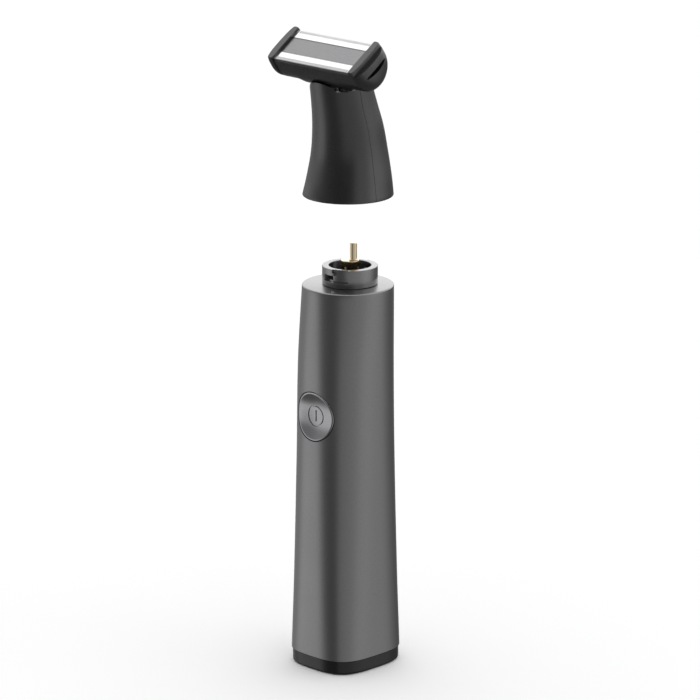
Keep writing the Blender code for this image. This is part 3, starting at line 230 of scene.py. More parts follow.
def turned(name, profile, centre=(0, 0, 0), axis="Z", segments=AROUND, closed=False):
    """A profile of (radius, height) pairs turned about an axis through centre."""
    spin = {"Z": Matrix(), "X": Matrix.Rotation(math.pi / 2, 4, "Y"),
            "Y": Matrix.Rotation(-math.pi / 2, 4, "X")}[axis]
    place = Matrix.Translation(centre) @ spin
    work = bmesh.new()
    rows = []
    for radius, height in profile:
        if radius < 1e-9:
            rows.append([work.verts.new(place @ Vector((0, 0, height)))])
            continue
        ring = []
        for i in range(segments):
            turn = math.tau * i / segments
            ring.append(work.verts.new(
                place @ Vector((radius * math.cos(turn), radius * math.sin(turn), height))))
        rows.append(ring)
    if closed:
        rows.append(rows[0])
    for low, high in zip(rows, rows[1:]):
        for i in range(segments):
            j = (i + 1) % segments
            corners = [low[i % len(low)], low[j % len(low)], high[j % len(high)], high[i % len(high)]]
            work.faces.new(list(dict.fromkeys(corners)))
    return from_bmesh(name, work)


def rod(name, radius, low, high, centre=(0, 0, 0), axis="Z", segments=AROUND):
    """A plain round rod, which bores a hole where it's cut away."""
    profile = [(0, low), (radius, low), (radius, high), (0, high)]
    return turned(name, profile, centre, axis, segments)


def rounded(profile, radius, steps=4):
    """A profile whose inner corners are replaced by small arcs."""
    points = [profile[0]]
    for before, corner, after in zip(profile, profile[1:], profile[2:]):
        corner = Vector(corner)
        one = Vector(before) - corner
        two = Vector(after) - corner
        reach = min(radius, one.length * 0.45, two.length * 0.45)
        start = corner + one.normalized() * reach
        end = corner + two.normalized() * reach
        for i in range(steps + 1):
            t = i / steps
            point = (1 - t) ** 2 * start + 2 * t * (1 - t) * corner + t**2 * end
            points.append((point.x, point.y))
    points.append(profile[-1])
    return points


def block(name, low, high):
    work = bmesh.new()
    bmesh.ops.create_cube(work, size=1.0)
    size = [b - a for a, b in zip(low, high)]
    centre = [(a + b) / 2 for a, b in zip(low, high)]
    bmesh.ops.transform(work, matrix=Matrix.Diagonal((*size, 1.0)), verts=work.verts)
    bmesh.ops.translate(work, vec=centre, verts=work.verts)
    return from_bmesh(name, work)


def sector(name, inner, outer, low, high, angles, centre=AXIS, steps=24):
    """A slice of a ring; angles are in degrees from -Y, counted towards +X."""
    rings = []
    for i in range(steps + 1):
        turn = math.radians(angles[0] + (angles[1] - angles[0]) * i / steps)
        ray = Vector((math.sin(turn), -math.cos(turn), 0))
        corners = ((inner, low), (outer, low), (outer, high), (inner, high))
        rings.append([centre + ray * r + Vector((0, 0, z)) for r, z in corners])
    return loft(name, rings)


def trough_sector(name, inner, outer, low, high, angles, steps=12):
    """A slice of a ring about the X axis; angles are from -Z, counted towards -Y."""
    rings = []
    for i in range(steps + 1):
        turn = math.radians(angles[0] + (angles[1] - angles[0]) * i / steps)
        ray = Vector((0, -math.sin(turn), -math.cos(turn)))
        corners = ((inner, low), (outer, low), (outer, high), (inner, high))
        rings.append([ray * r + Vector((x, 0, 0)) for r, x in corners])
    return loft(name, rings)


def prism(name, outline, low, high, place=Matrix()):
    """A flat outline of (x, y) points between two heights, then placed."""
    rings = [[place @ Vector((x, y, z)) for x, y in outline] for z in (low, high)]
    return loft(name, rings)


def settle(piece):
    """Turn a piece's modifiers into its mesh, and clear away what cut it."""
    bpy.context.view_layer.update()
    graph = bpy.context.evaluated_depsgraph_get()
    mesh = bpy.data.meshes.new_from_object(piece.evaluated_get(graph))
    tools = [m.object for m in piece.modifiers if m.type == "BOOLEAN"]
    piece.modifiers.clear()
    piece.data = mesh
    for tool in tools:
        bpy.data.objects.remove(tool, do_unlink=True)
    mesh.shade_smooth()
    mesh.set_sharp_from_angle(angle=math.radians(35))
    return piece


def combine(piece, tools, operation):
    for tool in tools:
        change = piece.modifiers.new(tool.name, "BOOLEAN")
        change.operation = operation
        change.solver = "EXACT"
        change.object = tool
    return settle(piece)


def cut(piece, *tools):
    return combine(piece, tools, "DIFFERENCE")


def join(piece, *tools):
    return combine(piece, tools, "UNION")


def soften(piece, width, segments=2, angle=40):
    """Round a piece's sharp edges a little, as a mould or a tumbler leaves them."""
    bevel = piece.modifiers.new("edges", "BEVEL")
    bevel.width = width
    bevel.segments = segments
    bevel.limit_method = "ANGLE"
    bevel.angle_limit = math.radians(angle)
    bevel.harden_normals = True
    return piece


# ---- lofted sections --------------------------------------------------------------------
def at_height(form, z):
    """The section's sizes at a height, on a smooth curve through the form's stations."""
    last = len(form) - 1
    z_mm = z / MM
    k = max(i for i in range(last) if i == 0 or form[i][0] <= z_mm)
    low, high = form[k], form[k + 1]
    before, after = form[max(k - 1, 0)], form[min(k + 2, last)]
    span = high[0] - low[0]
    t = (z_mm - low[0]) / span
    sizes = []
    for i in range(1, 5):
        rise = (high[i] - before[i]) / (high[0] - before[0]) * span
        fall = (after[i] - low[i]) / (after[0] - low[0]) * span
        start = (2 * t**3 - 3 * t**2 + 1) * low[i] + (t**3 - 2 * t**2 + t) * rise
        end = (3 * t**2 - 2 * t**3) * high[i] + (t**3 - t**2) * fall
        sizes.append(start + end)
    return [value * MM for value in sizes[:3]] + [sizes[3]]


def section(form, z, inset, height=None):
    """One ring of points on a form's rounded section, inset from its outer surface."""
    half_width, half_depth, centre_y, squareness = at_height(form, z)
    points = []
    for i in range(AROUND):
        turn = math.tau * i / AROUND
        c, s = math.cos(turn), math.sin(turn)
        x = (half_width - inset) * math.copysign(abs(c) ** (2 / squareness), c)
        y = (half_depth - inset) * math.copysign(abs(s) ** (2 / squareness), s)
        points.append(Vector((x, centre_y + y, z if height is None else height)))
    return points


def steps_between(low, high, count):
    return [low + (high - low) * i / count for i in range(count + 1)]


def front_y(x, z):
    """The Y of the handle's front surface at a width and a height."""
    half_width, half_depth, centre_y, squareness = at_height(HANDLE_FORM, z)
    share = (1 - abs(x / half_width) ** squareness) ** (1 / squareness)
    return centre_y - half_depth * share


# ---- finishes ---------------------------------------------------------------------------
class Finish:
    """A node material: a colour that wanders, a roughness that wanders, and a fine relief."""

    def __init__(self, name, roughness, metallic):
        self.material = bpy.data.materials.new(name)
        self.material.use_nodes = True
        self.tree = self.material.node_tree
        self.shader = self.tree.nodes["Principled BSDF"]
        self.shader.inputs["Roughness"].default_value = roughness
        self.shader.inputs["Metallic"].default_value = metallic
        self.place = self.tree.nodes.new("ShaderNodeTexCoord").outputs["Object"]

    def link(self, source, target):
        self.tree.links.new(source, target)

    def scaled(self, stretch):
        """The object's own coordinates, stretched along its axes."""
        mapping = self.tree.nodes.new("ShaderNodeMapping")
        mapping.inputs["Scale"].default_value = stretch
        self.link(self.place, mapping.inputs["Vector"])
        return mapping.outputs["Vector"]

    def noise(self, scale, detail=4.0, stretch=(1, 1, 1)):
        node = self.tree.nodes.new("ShaderNodeTexNoise")
        node.inputs["Scale"].default_value = scale
        node.inputs["Detail"].default_value = detail
        self.link(self.scaled(stretch), node.inputs["Vector"])
        return node.outputs["Fac"]

    def cells(self, scale, stretch=(1, 1, 1)):
        node = self.tree.nodes.new("ShaderNodeTexVoronoi")
        node.inputs["Scale"].default_value = scale
        self.link(self.scaled(stretch), node.inputs["Vector"])
        return node.outputs["Distance"]

    def bands(self, scale, axis, distortion=0.4):
        """Parallel lines across one of the object's axes."""
        node = self.tree.nodes.new("ShaderNodeTexWave")
        node.bands_direction = axis
        node.inputs["Scale"].default_value = scale
        node.inputs["Distortion"].default_value = distortion
        self.link(self.scaled((1, 1, 1)), node.inputs["Vector"])
        return node.outputs["Fac"]

    def tones(self, source, stops):
        """Colour by a source value, from (position, colour) stops."""
        ramp = self.tree.nodes.new("ShaderNodeValToRGB")
        ramp.color_ramp.elements.remove(ramp.color_ramp.elements[1])
        for i, (position, colour) in enumerate(stops):
            element = ramp.color_ramp.elements[0] if i == 0 else ramp.color_ramp.elements.new(position)
            element.position = position
            element.color = (*colour, 1.0)
        self.link(source, ramp.inputs["Fac"])
        self.link(ramp.outputs["Color"], self.shader.inputs["Base Color"])

    def wander(self, source, low, high, socket="Roughness"):
        """Let a shader value run between two numbers with a source value."""
        node = self.tree.nodes.new("ShaderNodeMapRange")
        node.inputs["From Min"].default_value = 0.3
        node.inputs["From Max"].default_value = 0.7
        node.inputs["To Min"].default_value = low
        node.inputs["To Max"].default_value = high
        self.link(source, node.inputs["Value"])
        self.link(node.outputs["Result"], self.shader.inputs[socket])

    def relief(self, source, depth, strength=1.0):
        """A bump of a real depth in metres, laid over any bump already there."""
        node = self.tree.nodes.new("ShaderNodeBump")
        node.inputs["Distance"].default_value = depth
        node.inputs["Strength"].default_value = strength
        self.link(source, node.inputs["Height"])
        normal = self.shader.inputs["Normal"]
        if normal.links:
            self.link(normal.links[0].from_socket, node.inputs["Normal"])
        self.link(node.outputs["Normal"], normal)

    def coat(self, weight, roughness):
        self.shader.inputs["Coat Weight"].default_value = weight
        self.shader.inputs["Coat Roughness"].default_value = roughness


def around(colour, spread):
    """Two stops, a shade darker and a shade lighter than a colour."""
    darker = tuple(c * (1 - spread) for c in colour)
    lighter = tuple(min(1.0, c * (1 + spread)) for c in colour)
    return [(0.3, darker), (0.7, lighter)]


def lacquer(name, colour, roughness, coat=0.25):
    """Metallic paint: fine flake in a coloured base, under a thin clear coat."""
    finish = Finish(name, roughness, 1.0)
    finish.tones(finish.noise(2600, 2.0), around(colour, 0.05))
    finish.wander(finish.noise(45, 3.0), roughness - 0.025, roughness + 0.025)
    finish.relief(finish.noise(3800, 1.0), 0.000002, 0.5)
    finish.coat(coat, 0.12)
    return finish.material


def moulded(name, colour, roughness, grain=1400, depth=0.000012, coat=0.0, ior=1.5):
    """Injection-moulded plastic with a fine spark-eroded grain."""
    finish = Finish(name, roughness, 0.0)
    finish.shader.inputs["IOR"].default_value = ior
    finish.tones(finish.noise(260, 5.0), around(colour, 0.12))
    finish.wander(finish.noise(70, 4.0), roughness - 0.04, roughness + 0.04)
    finish.relief(finish.cells(grain), depth, 0.4)
    if coat:
        finish.coat(coat, 0.05)
    return finish.material


def metal(name, colour, roughness, lines=(1, 1, 1), scale=900, depth=0.000003):
    """Bare or plated metal, with tool or brush lines drawn out along one axis."""
    finish = Finish(name, roughness, 1.0)
    marks = finish.noise(scale, 3.0, lines)
    finish.tones(finish.noise(120, 4.0), around(colour, 0.04))
    finish.wander(marks, max(0.03, roughness - 0.05), roughness + 0.06)
    finish.relief(marks, depth, 0.5)
    return finish.material


def wound_copper(name):
    """Enamelled windings, laid turn beside turn; the colour runs near black between the turns, a painted shade in
    the creases.
    """
    finish = Finish(name, 0.3, 1.0)
    turns = finish.bands(700, "Z", 1.5)
    # the near-black first stop is painted shade between the turns, not the copper's own colour
    finish.tones(turns, [(0.0, (0.20, 0.06, 0.03)), (0.45, (0.72, 0.32, 0.16)),
                         (1.0, (0.86, 0.45, 0.26))])
    finish.relief(turns, 0.00006)
    return finish.material


def heat_shrink(name):
    """A cell's sleeve, shrunk on: glossy blue plastic that shades from dark to pale."""
    finish = Finish(name, 0.28, 0.0)
    finish.tones(finish.noise(60, 6.0), [(0.25, (0.02, 0.11, 0.26)), (0.6, (0.05, 0.22, 0.45)),
                                         (0.85, (0.10, 0.30, 0.55))])
    finish.relief(finish.noise(220, 2.0, (1, 1, 0.15)), 0.00004, 0.5)
    finish.coat(0.6, 0.08)
    return finish.material


def solder_mask(name):
    """A circuit board: green mask over tracks that stand a little proud."""
    finish = Finish(name, 0.4, 0.0)
    tracks = finish.bands(180, "DIAGONAL", 14.0)
    finish.tones(tracks, [(0.0, (0.008, 0.06, 0.025)), (0.5, (0.012, 0.10, 0.04)),
                          (0.62, (0.03, 0.22, 0.09))])
    finish.relief(tracks, 0.00003)
    finish.coat(0.4, 0.15)
    return finish.material


def make_finishes():
    """Every material slot of the record, with its finish."""
    around_axis = (1, 1, 14)
    along_blade = (0.05, 1, 1)
    return {
        "shell_grey": lacquer("shell_grey", (0.24, 0.24, 0.245), 0.30),
        "collar_grey": lacquer("collar_grey", (0.25, 0.25, 0.255), 0.26),
        "button_grey": lacquer("button_grey", (0.36, 0.36, 0.37), 0.20, 0.1),
        "gloss_black": moulded("gloss_black", (0.006, 0.006, 0.0065), 0.10, 300, 0.000002, 0.0, 1.45),
        "satin_black": moulded("satin_black", (0.006, 0.006, 0.0064), 0.28, ior=1.8),
        # near-black steel for the cutters: a painted shade in the comb's slots, not the steel's own colour
        "ground_steel": metal("ground_steel", (0.005, 0.005, 0.005), 0.35, along_blade, 1600, 0.000002),
        "brass": metal("brass", (0.83, 0.68, 0.44), 0.14, around_axis),
        "steel": metal("steel", (0.62, 0.62, 0.63), 0.2, around_axis),
        "chrome_blade": metal("chrome_blade", (0.90, 0.90, 0.91), 0.1, along_blade, 1600, 0.000002),
        "rubber": moulded("rubber", (0.018, 0.018, 0.018), 0.75, 900, 0.00003),
        "motor_steel": metal("motor_steel", (0.50, 0.50, 0.52), 0.28, (1, 1, 0.1), 500),
        "magnet": moulded("magnet", (0.07, 0.07, 0.075), 0.6, 1800, 0.00003),
        "nickel": metal("nickel", (0.66, 0.64, 0.60), 0.22, (0.2, 1, 1)),
        "copper": wound_copper("copper"),
        "cell_wrap": heat_shrink("cell_wrap"),
        "board_green": solder_mask("board_green"),
        "chip_black": moulded("chip_black", (0.014, 0.014, 0.014), 0.5, 2600, 0.00001),
        "nylon_white": moulded("nylon_white", (0.70, 0.70, 0.67), 0.42, 900, 0.00001),
        "acetal_grey": moulded("acetal_grey", (0.20, 0.205, 0.21), 0.42, 1000, 0.00001),
        "lead_red": moulded("lead_red", (0.48, 0.018, 0.018), 0.4, 700, 0.00001),
        "lead_black": moulded("lead_black", (0.018, 0.018, 0.018), 0.4, 700, 0.00001),
    }


def body_of(node):
    bodies = frame["record"]["behaviour"]["bodies"]
    return next(name for name, nodes in bodies.items() if node in nodes)


def slot_of(node):
    return next(s["material_slot"] for s in frame["record"]["subparts"] if s["node"] == node)


def stand_for(piece, node, slot=None):
    """Let a fine piece stand for a frame node, in the node's own slot unless one is given."""
    slot = slot or slot_of(node)
    piece.data.materials.clear()
    piece.data.materials.append(FINISHES[slot])
    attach(piece, body_of(node))
    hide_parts(node)


# ---- handle -----------------------------------------------------------------------------
def make_shell():
    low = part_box("handle_shell")[0][Z]
    edge_start = SHELL_TOP - SHELL_EDGE
    roof_low = SHELL_TOP - SHELL_ROOF
    rings = [section(HANDLE_FORM, z, SHELL_WALL) for z in steps_between(roof_low, low, 16)]
    rings += [section(HANDLE_FORM, z, 0) for z in steps_between(low, edge_start, HANDLE_ROWS)]
    for i in range(1, 6):
        turn = math.pi / 2 * i / 5
        z = edge_start + SHELL_EDGE * math.sin(turn)
        rings.append(section(HANDLE_FORM, min(z, SHELL_TOP), SHELL_EDGE * (1 - math.cos(turn))))
    shell = loft("outer_shell", rings)
    hole = rod("shell_button_hole", BUTTON_HOLE, -FAR, -4 * MM, (0, 0, BUTTON_Z), "Y")
    neck_hole = rod("shell_collar_hole", COLLAR_SPIGOT + FIT, roof_low - MM, SHELL_TOP + MM, AXIS)
    stand_for(cut(shell, hole, neck_hole), "handle_shell")


def make_base():
    """The glossy cap: rounded foot, flange, spigot, charging port and screw recesses."""
    flange_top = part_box("handle_shell")[0][Z] - FIT
    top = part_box("base_cap")[1][Z]
    bottom_form = HANDLE_FORM[0][0] * MM
    rings = []
    for i in range(9):
        turn = math.pi / 2 * i / 8
        rings.append(section(HANDLE_FORM, bottom_form, FOOT_INSET + FOOT_EDGE * (1 - math.sin(turn)),
                             FOOT_EDGE * (1 - math.cos(turn))))
    spigot = FOOT_SPIGOT_INSET
    hollow = spigot + FOOT_SPIGOT_WALL
    for inset, z in ((FOOT_INSET, flange_top - FOOT_LIP), (FOOT_INSET + FOOT_LIP, flange_top),
                     (spigot, flange_top), (spigot, top), (hollow, top), (hollow, FOOT_FLOOR)):
        rings.append(section(HANDLE_FORM, bottom_form, inset, z))
    cap = loft("foot_cap", rings)
    low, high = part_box("charge_socket")
    tools = [block("port", (low[X] - PORT_GAP, low[Y] - PORT_GAP, -MM),
                   (high[X] + PORT_GAP, high[Y] + PORT_GAP, top + MM))]
    for side in ("left", "right"):
        place = middle(f"base_screw_{side}")
        place.z = 0
        recess = [(0, RECESS_DEPTH), (RECESS_RADIUS, RECESS_DEPTH), (RECESS_RADIUS, -MM), (0, -MM)]
        tools.append(turned(f"recess_{side}", rounded(recess, FIT), place, segments=48))
        tools.append(rod(f"bore_{side}", SCREW_BORE, -2 * MM, SCREW_BORE_TOP, place, segments=32))
    stand_for(cut(cap, *tools), "base_cap")


def make_collar():
    """The bayonet collar with its two J-slots and their lead-in notches."""
    low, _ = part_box("head_collar")
    seat = SHELL_TOP + FIT
    spigot = COLLAR_SPIGOT
    profile = [
        (COLLAR_BORE, low[Z] + MM), (COLLAR_BORE, COLLAR_TOP), (COLLAR_RADIUS, COLLAR_TOP),
        (COLLAR_RADIUS, seat), (spigot, seat), (spigot, low[Z]), (COLLAR_BORE, low[Z]),
    ]
    collar = turned("bayonet_collar", rounded(profile, 0.18 * MM), AXIS, closed=True)
    floor = COLLAR_RADIUS - GROOVE_DEPTH
    beyond = COLLAR_RADIUS + MM
    groove_low = COLLAR_TOP - ENTRY_DEPTH
    under = COLLAR_TOP - BRIDGE_HEIGHT
    tools = []
    for turn in (0, 180):
        entry = [a + turn for a in ENTRY]
        run = (POCKET[0] + turn, ENTRY[0] + turn + 1)
        pocket = [a + turn for a in POCKET]
        notch = (ENTRY[0] + turn - 4.5, ENTRY[0] + turn + 1)
        tools += [
            sector(f"entry_{turn}", floor, beyond, groove_low, COLLAR_TOP + MM, entry),
            sector(f"run_{turn}", floor, beyond, groove_low, under, run),
            sector(f"pocket_{turn}", COLLAR_BORE - MM, floor + 0.5 * MM, groove_low + FIT, under - FIT,
                   pocket),
            sector(f"notch_{turn}", floor + 0.25 * MM, beyond, COLLAR_TOP - NOTCH_DEPTH,
                   COLLAR_TOP + MM, notch),
        ]
    collar = cut(collar, *tools)
    soften(collar, 0.07 * MM, 2, 50)
    stand_for(collar, "head_collar")


def make_drive():
    """The brass hub, turned to a gentle cone, and the crank pin with its collar."""
    bore_top = HUB_TOP - 1.4 * MM
    profile = rounded([
        (0, HUB_TOP), (HUB_RADIUS, HUB_TOP), (HUB_RADIUS - 0.03 * MM, HUB_TOP - 0.5 * MM),
        (HUB_WAIST, HUB_TOP - 3.2 * MM), (HUB_WAIST, HUB_LOW), (HUB_BORE, HUB_LOW),
        (HUB_BORE, bore_top), (0, bore_top),
    ], 0.16 * MM)
    place = (PIN_MIDDLE.x, PIN_MIDDLE.y, 0)
    hub = turned("brass_hub", profile, AXIS, segments=96)
    socket = rod("pin_socket", PIN_RADIUS + 0.05 * MM, HUB_TOP - PIN_SOCKET_DEPTH, HUB_TOP + MM, place)
    stand_for(cut(hub, socket), "drive_hub")
    collar_low = HUB_TOP + 0.02 * MM
    collar_top = HUB_TOP + PIN_COLLAR_HEIGHT
    wide = PIN_RADIUS + PIN_COLLAR_WIDTH
    profile = rounded([
        (0, PIN_TOP), (PIN_RADIUS, PIN_TOP), (PIN_RADIUS, collar_top), (wide, collar_top),
        (wide, collar_low), (PIN_RADIUS, collar_low), (PIN_RADIUS, PIN_LOW), (0, PIN_LOW),
    ], 0.22 * MM, 5)
    stand_for(turned("brass_pin", profile, place, segments=64), "crank_pin")


def make_button():
    """The dished button, with a ring and a bar sunk into its middle."""
    dish = BUTTON_RADIUS - BUTTON_RIM

    def ring_at(radius, sink=0.0):
        points = []
        for i in range(AROUND):
            turn = math.tau * i / AROUND
            x = radius * math.cos(turn)
            z = BUTTON_Z + radius * math.sin(turn)
            depth = DISH_DEPTH * max(0.0, 1 - (radius / dish) ** 2)
            points.append(Vector((x, front_y(x, z) + depth + sink, z)))
        return points

    half = ICON_LINE / 2
    rings = [ring_at(dish * i / 28) for i in range(1, 12)]
    rings.append(ring_at(ICON_RADIUS - half))
    rings.append(ring_at(ICON_RADIUS - half + ICON_SLOPE, ICON_DEPTH))
    rings.append(ring_at(ICON_RADIUS + half - ICON_SLOPE, ICON_DEPTH))
    rings.append(ring_at(ICON_RADIUS + half))
    start = ICON_RADIUS + half
    rings += [ring_at(start + (dish - start) * i / 20) for i in range(1, 21)]
    rings.append(ring_at(BUTTON_RADIUS - BUTTON_EDGE))
    for i in range(1, 5):
        turn = math.pi / 2 * i / 4
        rings.append(ring_at(BUTTON_RADIUS - BUTTON_EDGE * (1 - math.sin(turn)),
                             BUTTON_EDGE * (1 - math.cos(turn))))
    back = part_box("power_button")[1][Y] - STEM_LENGTH
    rings.append([Vector((p.x, back, p.z)) for p in ring_at(BUTTON_RADIUS)])
    rings.append([Vector((p.x, back, p.z)) for p in ring_at(BUTTON_STEM)])
    rings.append([Vector((p.x, BUTTON_BACK, p.z)) for p in ring_at(BUTTON_STEM)])
    button = loft("dished_button", rings)
    round_end = ICON_BAR_WIDTH / 2
    reach = ICON_BAR / 2 - round_end
    outline = []
    for end in (1, -1):
        for i in range(13):
            turn = math.pi * i / 12
            outline.append((round_end * math.cos(turn) * end,
                            (reach + round_end * math.sin(turn)) * end))
    upright = Matrix.Translation((0, 0, BUTTON_Z)) @ Matrix.Rotation(math.pi / 2, 4, "X")
    surface = front_y(0, BUTTON_Z) + DISH_DEPTH
    bar = prism("icon_bar", outline, -(surface + ICON_DEPTH), -(surface - 2 * MM), upright)
    stand_for(cut(button, bar), "power_button")


def make_boot():
    """The rubber boot behind the button, whose lip fills the gap round it."""
    low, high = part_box("button_boot")
    outer = extent("button_boot", X) / 2
    profile = [(BOOT_BORE, low[Y]), (outer, low[Y]), (outer, high[Y]), (BOOT_BORE, high[Y])]
    boot = turned("rubber_boot", profile, (0, 0, BUTTON_Z), "Y", 64, True)
    near = BUTTON_RADIUS + LIP_GAP
    away = BUTTON_HOLE - LIP_GAP
    rows = []
    for radius, sink in ((near, LIP_TOP), (away, LIP_TOP), (away, LIP_BOTTOM), (near, LIP_BOTTOM)):
        row = []
        for i in range(AROUND):
            turn = math.tau * i / AROUND
            x = radius * math.cos(turn)
            z = BUTTON_Z + radius * math.sin(turn)
            row.append((x, front_y(x, z) + sink, z))
        rows.append(row)
    work = bmesh.new()
    rows = [[work.verts.new(point) for point in row] for row in rows]
    rows.append(rows[0])
    for first, second in zip(rows, rows[1:]):
        for i in range(AROUND):
            j = (i + 1) % AROUND
            work.faces.new((first[i], first[j], second[j], second[i]))
    lip = from_bmesh("boot_lip", work)
    stand_for(join(boot, lip), "button_boot")


# ---- head -------------------------------------------------------------------------------
def make_neck():
    """The neck's two shells, parted along the sides and relieved for the saddle."""
    low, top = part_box("neck_rear_shell")[0][Z], NECK_FORM[-1][0] * MM
    roof_low = top - NECK_ROOF
    edge = NECK_EDGE
    centre = Vector((0, PIVOT[Y], PIVOT[Z])) + RELIEF_SHIFT
    for half, side in (("front", -1), ("rear", 1)):
        rings = [section(NECK_FORM, z, NECK_WALL) for z in steps_between(roof_low, low, 14)]
        for i in range(5):
            turn = math.pi / 2 * i / 4
            rings.append(section(NECK_FORM, low + edge * (1 - math.cos(turn)),
                                 edge * (1 - math.sin(turn))))
        rings += [section(NECK_FORM, z, 0) for z in steps_between(low + edge, top, NECK_ROWS)[1:]]
        shell = loft(f"neck_{half}_half", rings)
        line = side * PARTING / 2 - PARTING_SHIFT
        outline = [(y * MM + line, z * MM) for z, _, _, y, _ in NECK_FORM]
        outline[0] = (outline[0][0], low - 5 * MM)
        outline[-1] = (outline[-1][0], top + 5 * MM)
        far = -side * 30 * MM
        outline += [(far, top + 5 * MM), (far, low - 5 * MM)]
        upright = Matrix(((0, 0, 1, 0), (1, 0, 0, 0), (0, 1, 0, 0), (0, 0, 0, 1)))
        away = prism(f"parting_{half}", outline, -25 * MM, 25 * MM, upright)
        relief = rod(f"relief_{half}", RELIEF_RADIUS, -16 * MM, 16 * MM, centre, "X")
        window = block(f"window_{half}", (-WINDOW_HALF_WIDTH, PIVOT[Y] - WINDOW_FRONT, roof_low - MM),
                       (WINDOW_HALF_WIDTH, PIVOT[Y] + WINDOW_REAR, top + MM))
        shell = cut(shell, away, relief, window)
        soften(shell, 0.05 * MM, 2, 50)
        stand_for(shell, f"neck_{half}_shell")


def trough_ring(x, half_width, depth, lower):
    """A U across the cartridge: nearly straight sides over a bottom of the given power."""
    points = []
    for i in range(AROUND):
        turn = math.tau * i / AROUND
        across = math.cos(turn)
        rise = math.sin(turn)
        power = 2 / (3.5 if rise > 0 else lower)
        height = half_width if rise > 0 else depth
        points.append(Vector((
            x,
            half_width * math.copysign(abs(across) ** power, across),
            height * math.copysign(abs(rise) ** power, rise),
        )))
    return points


def smooth_step(t):
    t = min(1.0, max(0.0, t))
    return t * t * (3 - 2 * t)


def make_trough():
    """The cartridge's black body: a U-shaped trough that deepens into the saddle."""
    end = BLADE_HALF_LENGTH
    inner = TROUGH_DEPTH - TROUGH_WALL
    rings = []
    for x in steps_between(-end, end, 96):
        swell = smooth_step((SADDLE_HALF_LENGTH + SADDLE_TAPER - abs(x)) / SADDLE_TAPER)
        depth = TROUGH_DEPTH + (SADDLE_DEPTH - TROUGH_DEPTH) * swell
        rings.append(trough_ring(x, TROUGH_HALF_WIDTH, depth, 2.3))
    trough = loft("cartridge_trough", rings)
    hollow = loft("trough_hollow", [trough_ring(x, TROUGH_HALF_WIDTH - TROUGH_WALL, inner, 2.3)
                                    for x in (-end - MM, end + MM)])
    trough = cut(trough, hollow)
    deck = DECK - GUARD_THICKNESS - FIT
    shelf = DECK - GUARD_THICKNESS - MM
    opening = WELL_HALF_LENGTH
    room = BLADE_HALF_WIDTH - 0.3 * MM
    trough = cut(
        trough,
        block("deck", (-FAR, -FAR, deck), (FAR, FAR, FAR)),
        trough_sector("well", inner - 2 * MM, SADDLE_DEPTH + MM, -opening, opening, (-10.0, 50.0)),
        block("cutter_room", (-FAR, -room, shelf), (FAR, room, FAR)),
    )
    ribs = [
        block(f"rib_{name}", (x - RIB_HALF_THICKNESS, -RIB_HALF_WIDTH, -inner - 0.5 * MM),
              (x + RIB_HALF_THICKNESS, RIB_HALF_WIDTH, RIB_TOP))
        for name, x in (("left", -RIB_X), ("right", RIB_X))
    ]
    trough = join(trough, *ribs)
    bore = rod("rib_bore", RIB_BORE, -12 * MM, 12 * MM, axis="X", segments=32)
    trough = cut(trough, bore)
    soften(trough, 0.12 * MM, 2, 45)
    place_in_cartridge(trough, "cartridge_frame")


def place_in_cartridge(piece, node, slot=None):
    """Bake a piece made in the cartridge's own frame into its place, and let it stand in."""
    piece.data.transform(CARTRIDGE_PLACE)
    piece.data.update()
    stand_for(piece, node, slot)


def cap_dome(name, side, radius, dome):
    """A domed end of the cartridge, on the side given by -1 or 1."""
    start = CAP_START
    stations = [(start, radius - CAP_LEAD), (start + CAP_LEAD, radius)]
    for i in range(25):
        turn = math.radians(3.375 * i)
        stations.append((start + CAP_SIDE + dome * math.sin(turn), radius * math.cos(turn)))
    stations[-1] = (start + CAP_SIDE + dome, stations[-1][1])
    return loft(name, [trough_ring(side * x, r, r, 2.0) for x, r in stations])


def make_end_caps():
    """The stepped end caps: a full dome with a finger groove, and a flatter one above it."""
    for name, x in (("left", -1), ("right", 1)):
        cap = cap_dome(f"cap_{name}", x, CAP_RADIUS, CAP_DOME)
        inner = cap_dome(f"cap_upper_{name}", x, CAP_RADIUS + 0.3 * MM, CAP_UPPER_DOME)
        ends = sorted((x * (BLADE_HALF_LENGTH + CAP_SIDE / 2), x * (BLADE_HALF_LENGTH + 9 * MM)))
        shoulder = block(f"cap_shoulder_{name}", (ends[0], -FAR, CAP_STEP), (ends[1], FAR, FAR))
        shoulder = cut(shoulder, inner)
        deck = block(f"cap_deck_{name}", (x * 18 * MM - 6 * MM, -FAR, DECK + CAP_RISE),
                     (x * 18 * MM + 6 * MM, FAR, FAR))
        groove = turned(
            f"finger_groove_{name}",
            [(GROOVE_RADIUS * math.sin(math.pi * i / 24) if 0 < i < 24 else 0,
              GROOVE_HALF_HEIGHT * math.cos(math.pi * i / 24)) for i in range(25)],
        )
        groove.data.transform(Matrix.Translation((x * GROOVE_PLACE.x, GROOVE_PLACE.y, GROOVE_PLACE.z)))
        cap = cut(cap, shoulder, deck, groove)
        soften(cap, 0.14 * MM, 3, 40)
        place_in_cartridge(cap, f"end_cap_{name}")


def comb_outline(length, width, slots, slot_width, slot_depth):
    """A strip's outline with round-ended slots along its outer edge, at -Y."""
    pitch = length / slots
    points = [(length / 2, 0), (-length / 2, 0), (-length / 2, -width)]
    half = slot_width / 2
    for i in range(slots):
        middle_x = -length / 2 + pitch * (i + 0.5)
        points += [(middle_x - half - TOOTH_CHAMFER, -width), (middle_x - half, -width + TOOTH_TIP)]
        for k in range(5):
            turn = math.pi * (1 - k / 4)
            points.append((middle_x + half * math.cos(turn),
                           -width + slot_depth - half + half * math.sin(turn)))
        points += [(middle_x + half, -width + TOOTH_TIP), (middle_x + half + TOOTH_CHAMFER, -width)]
    points.append((length / 2, -width))
    return points


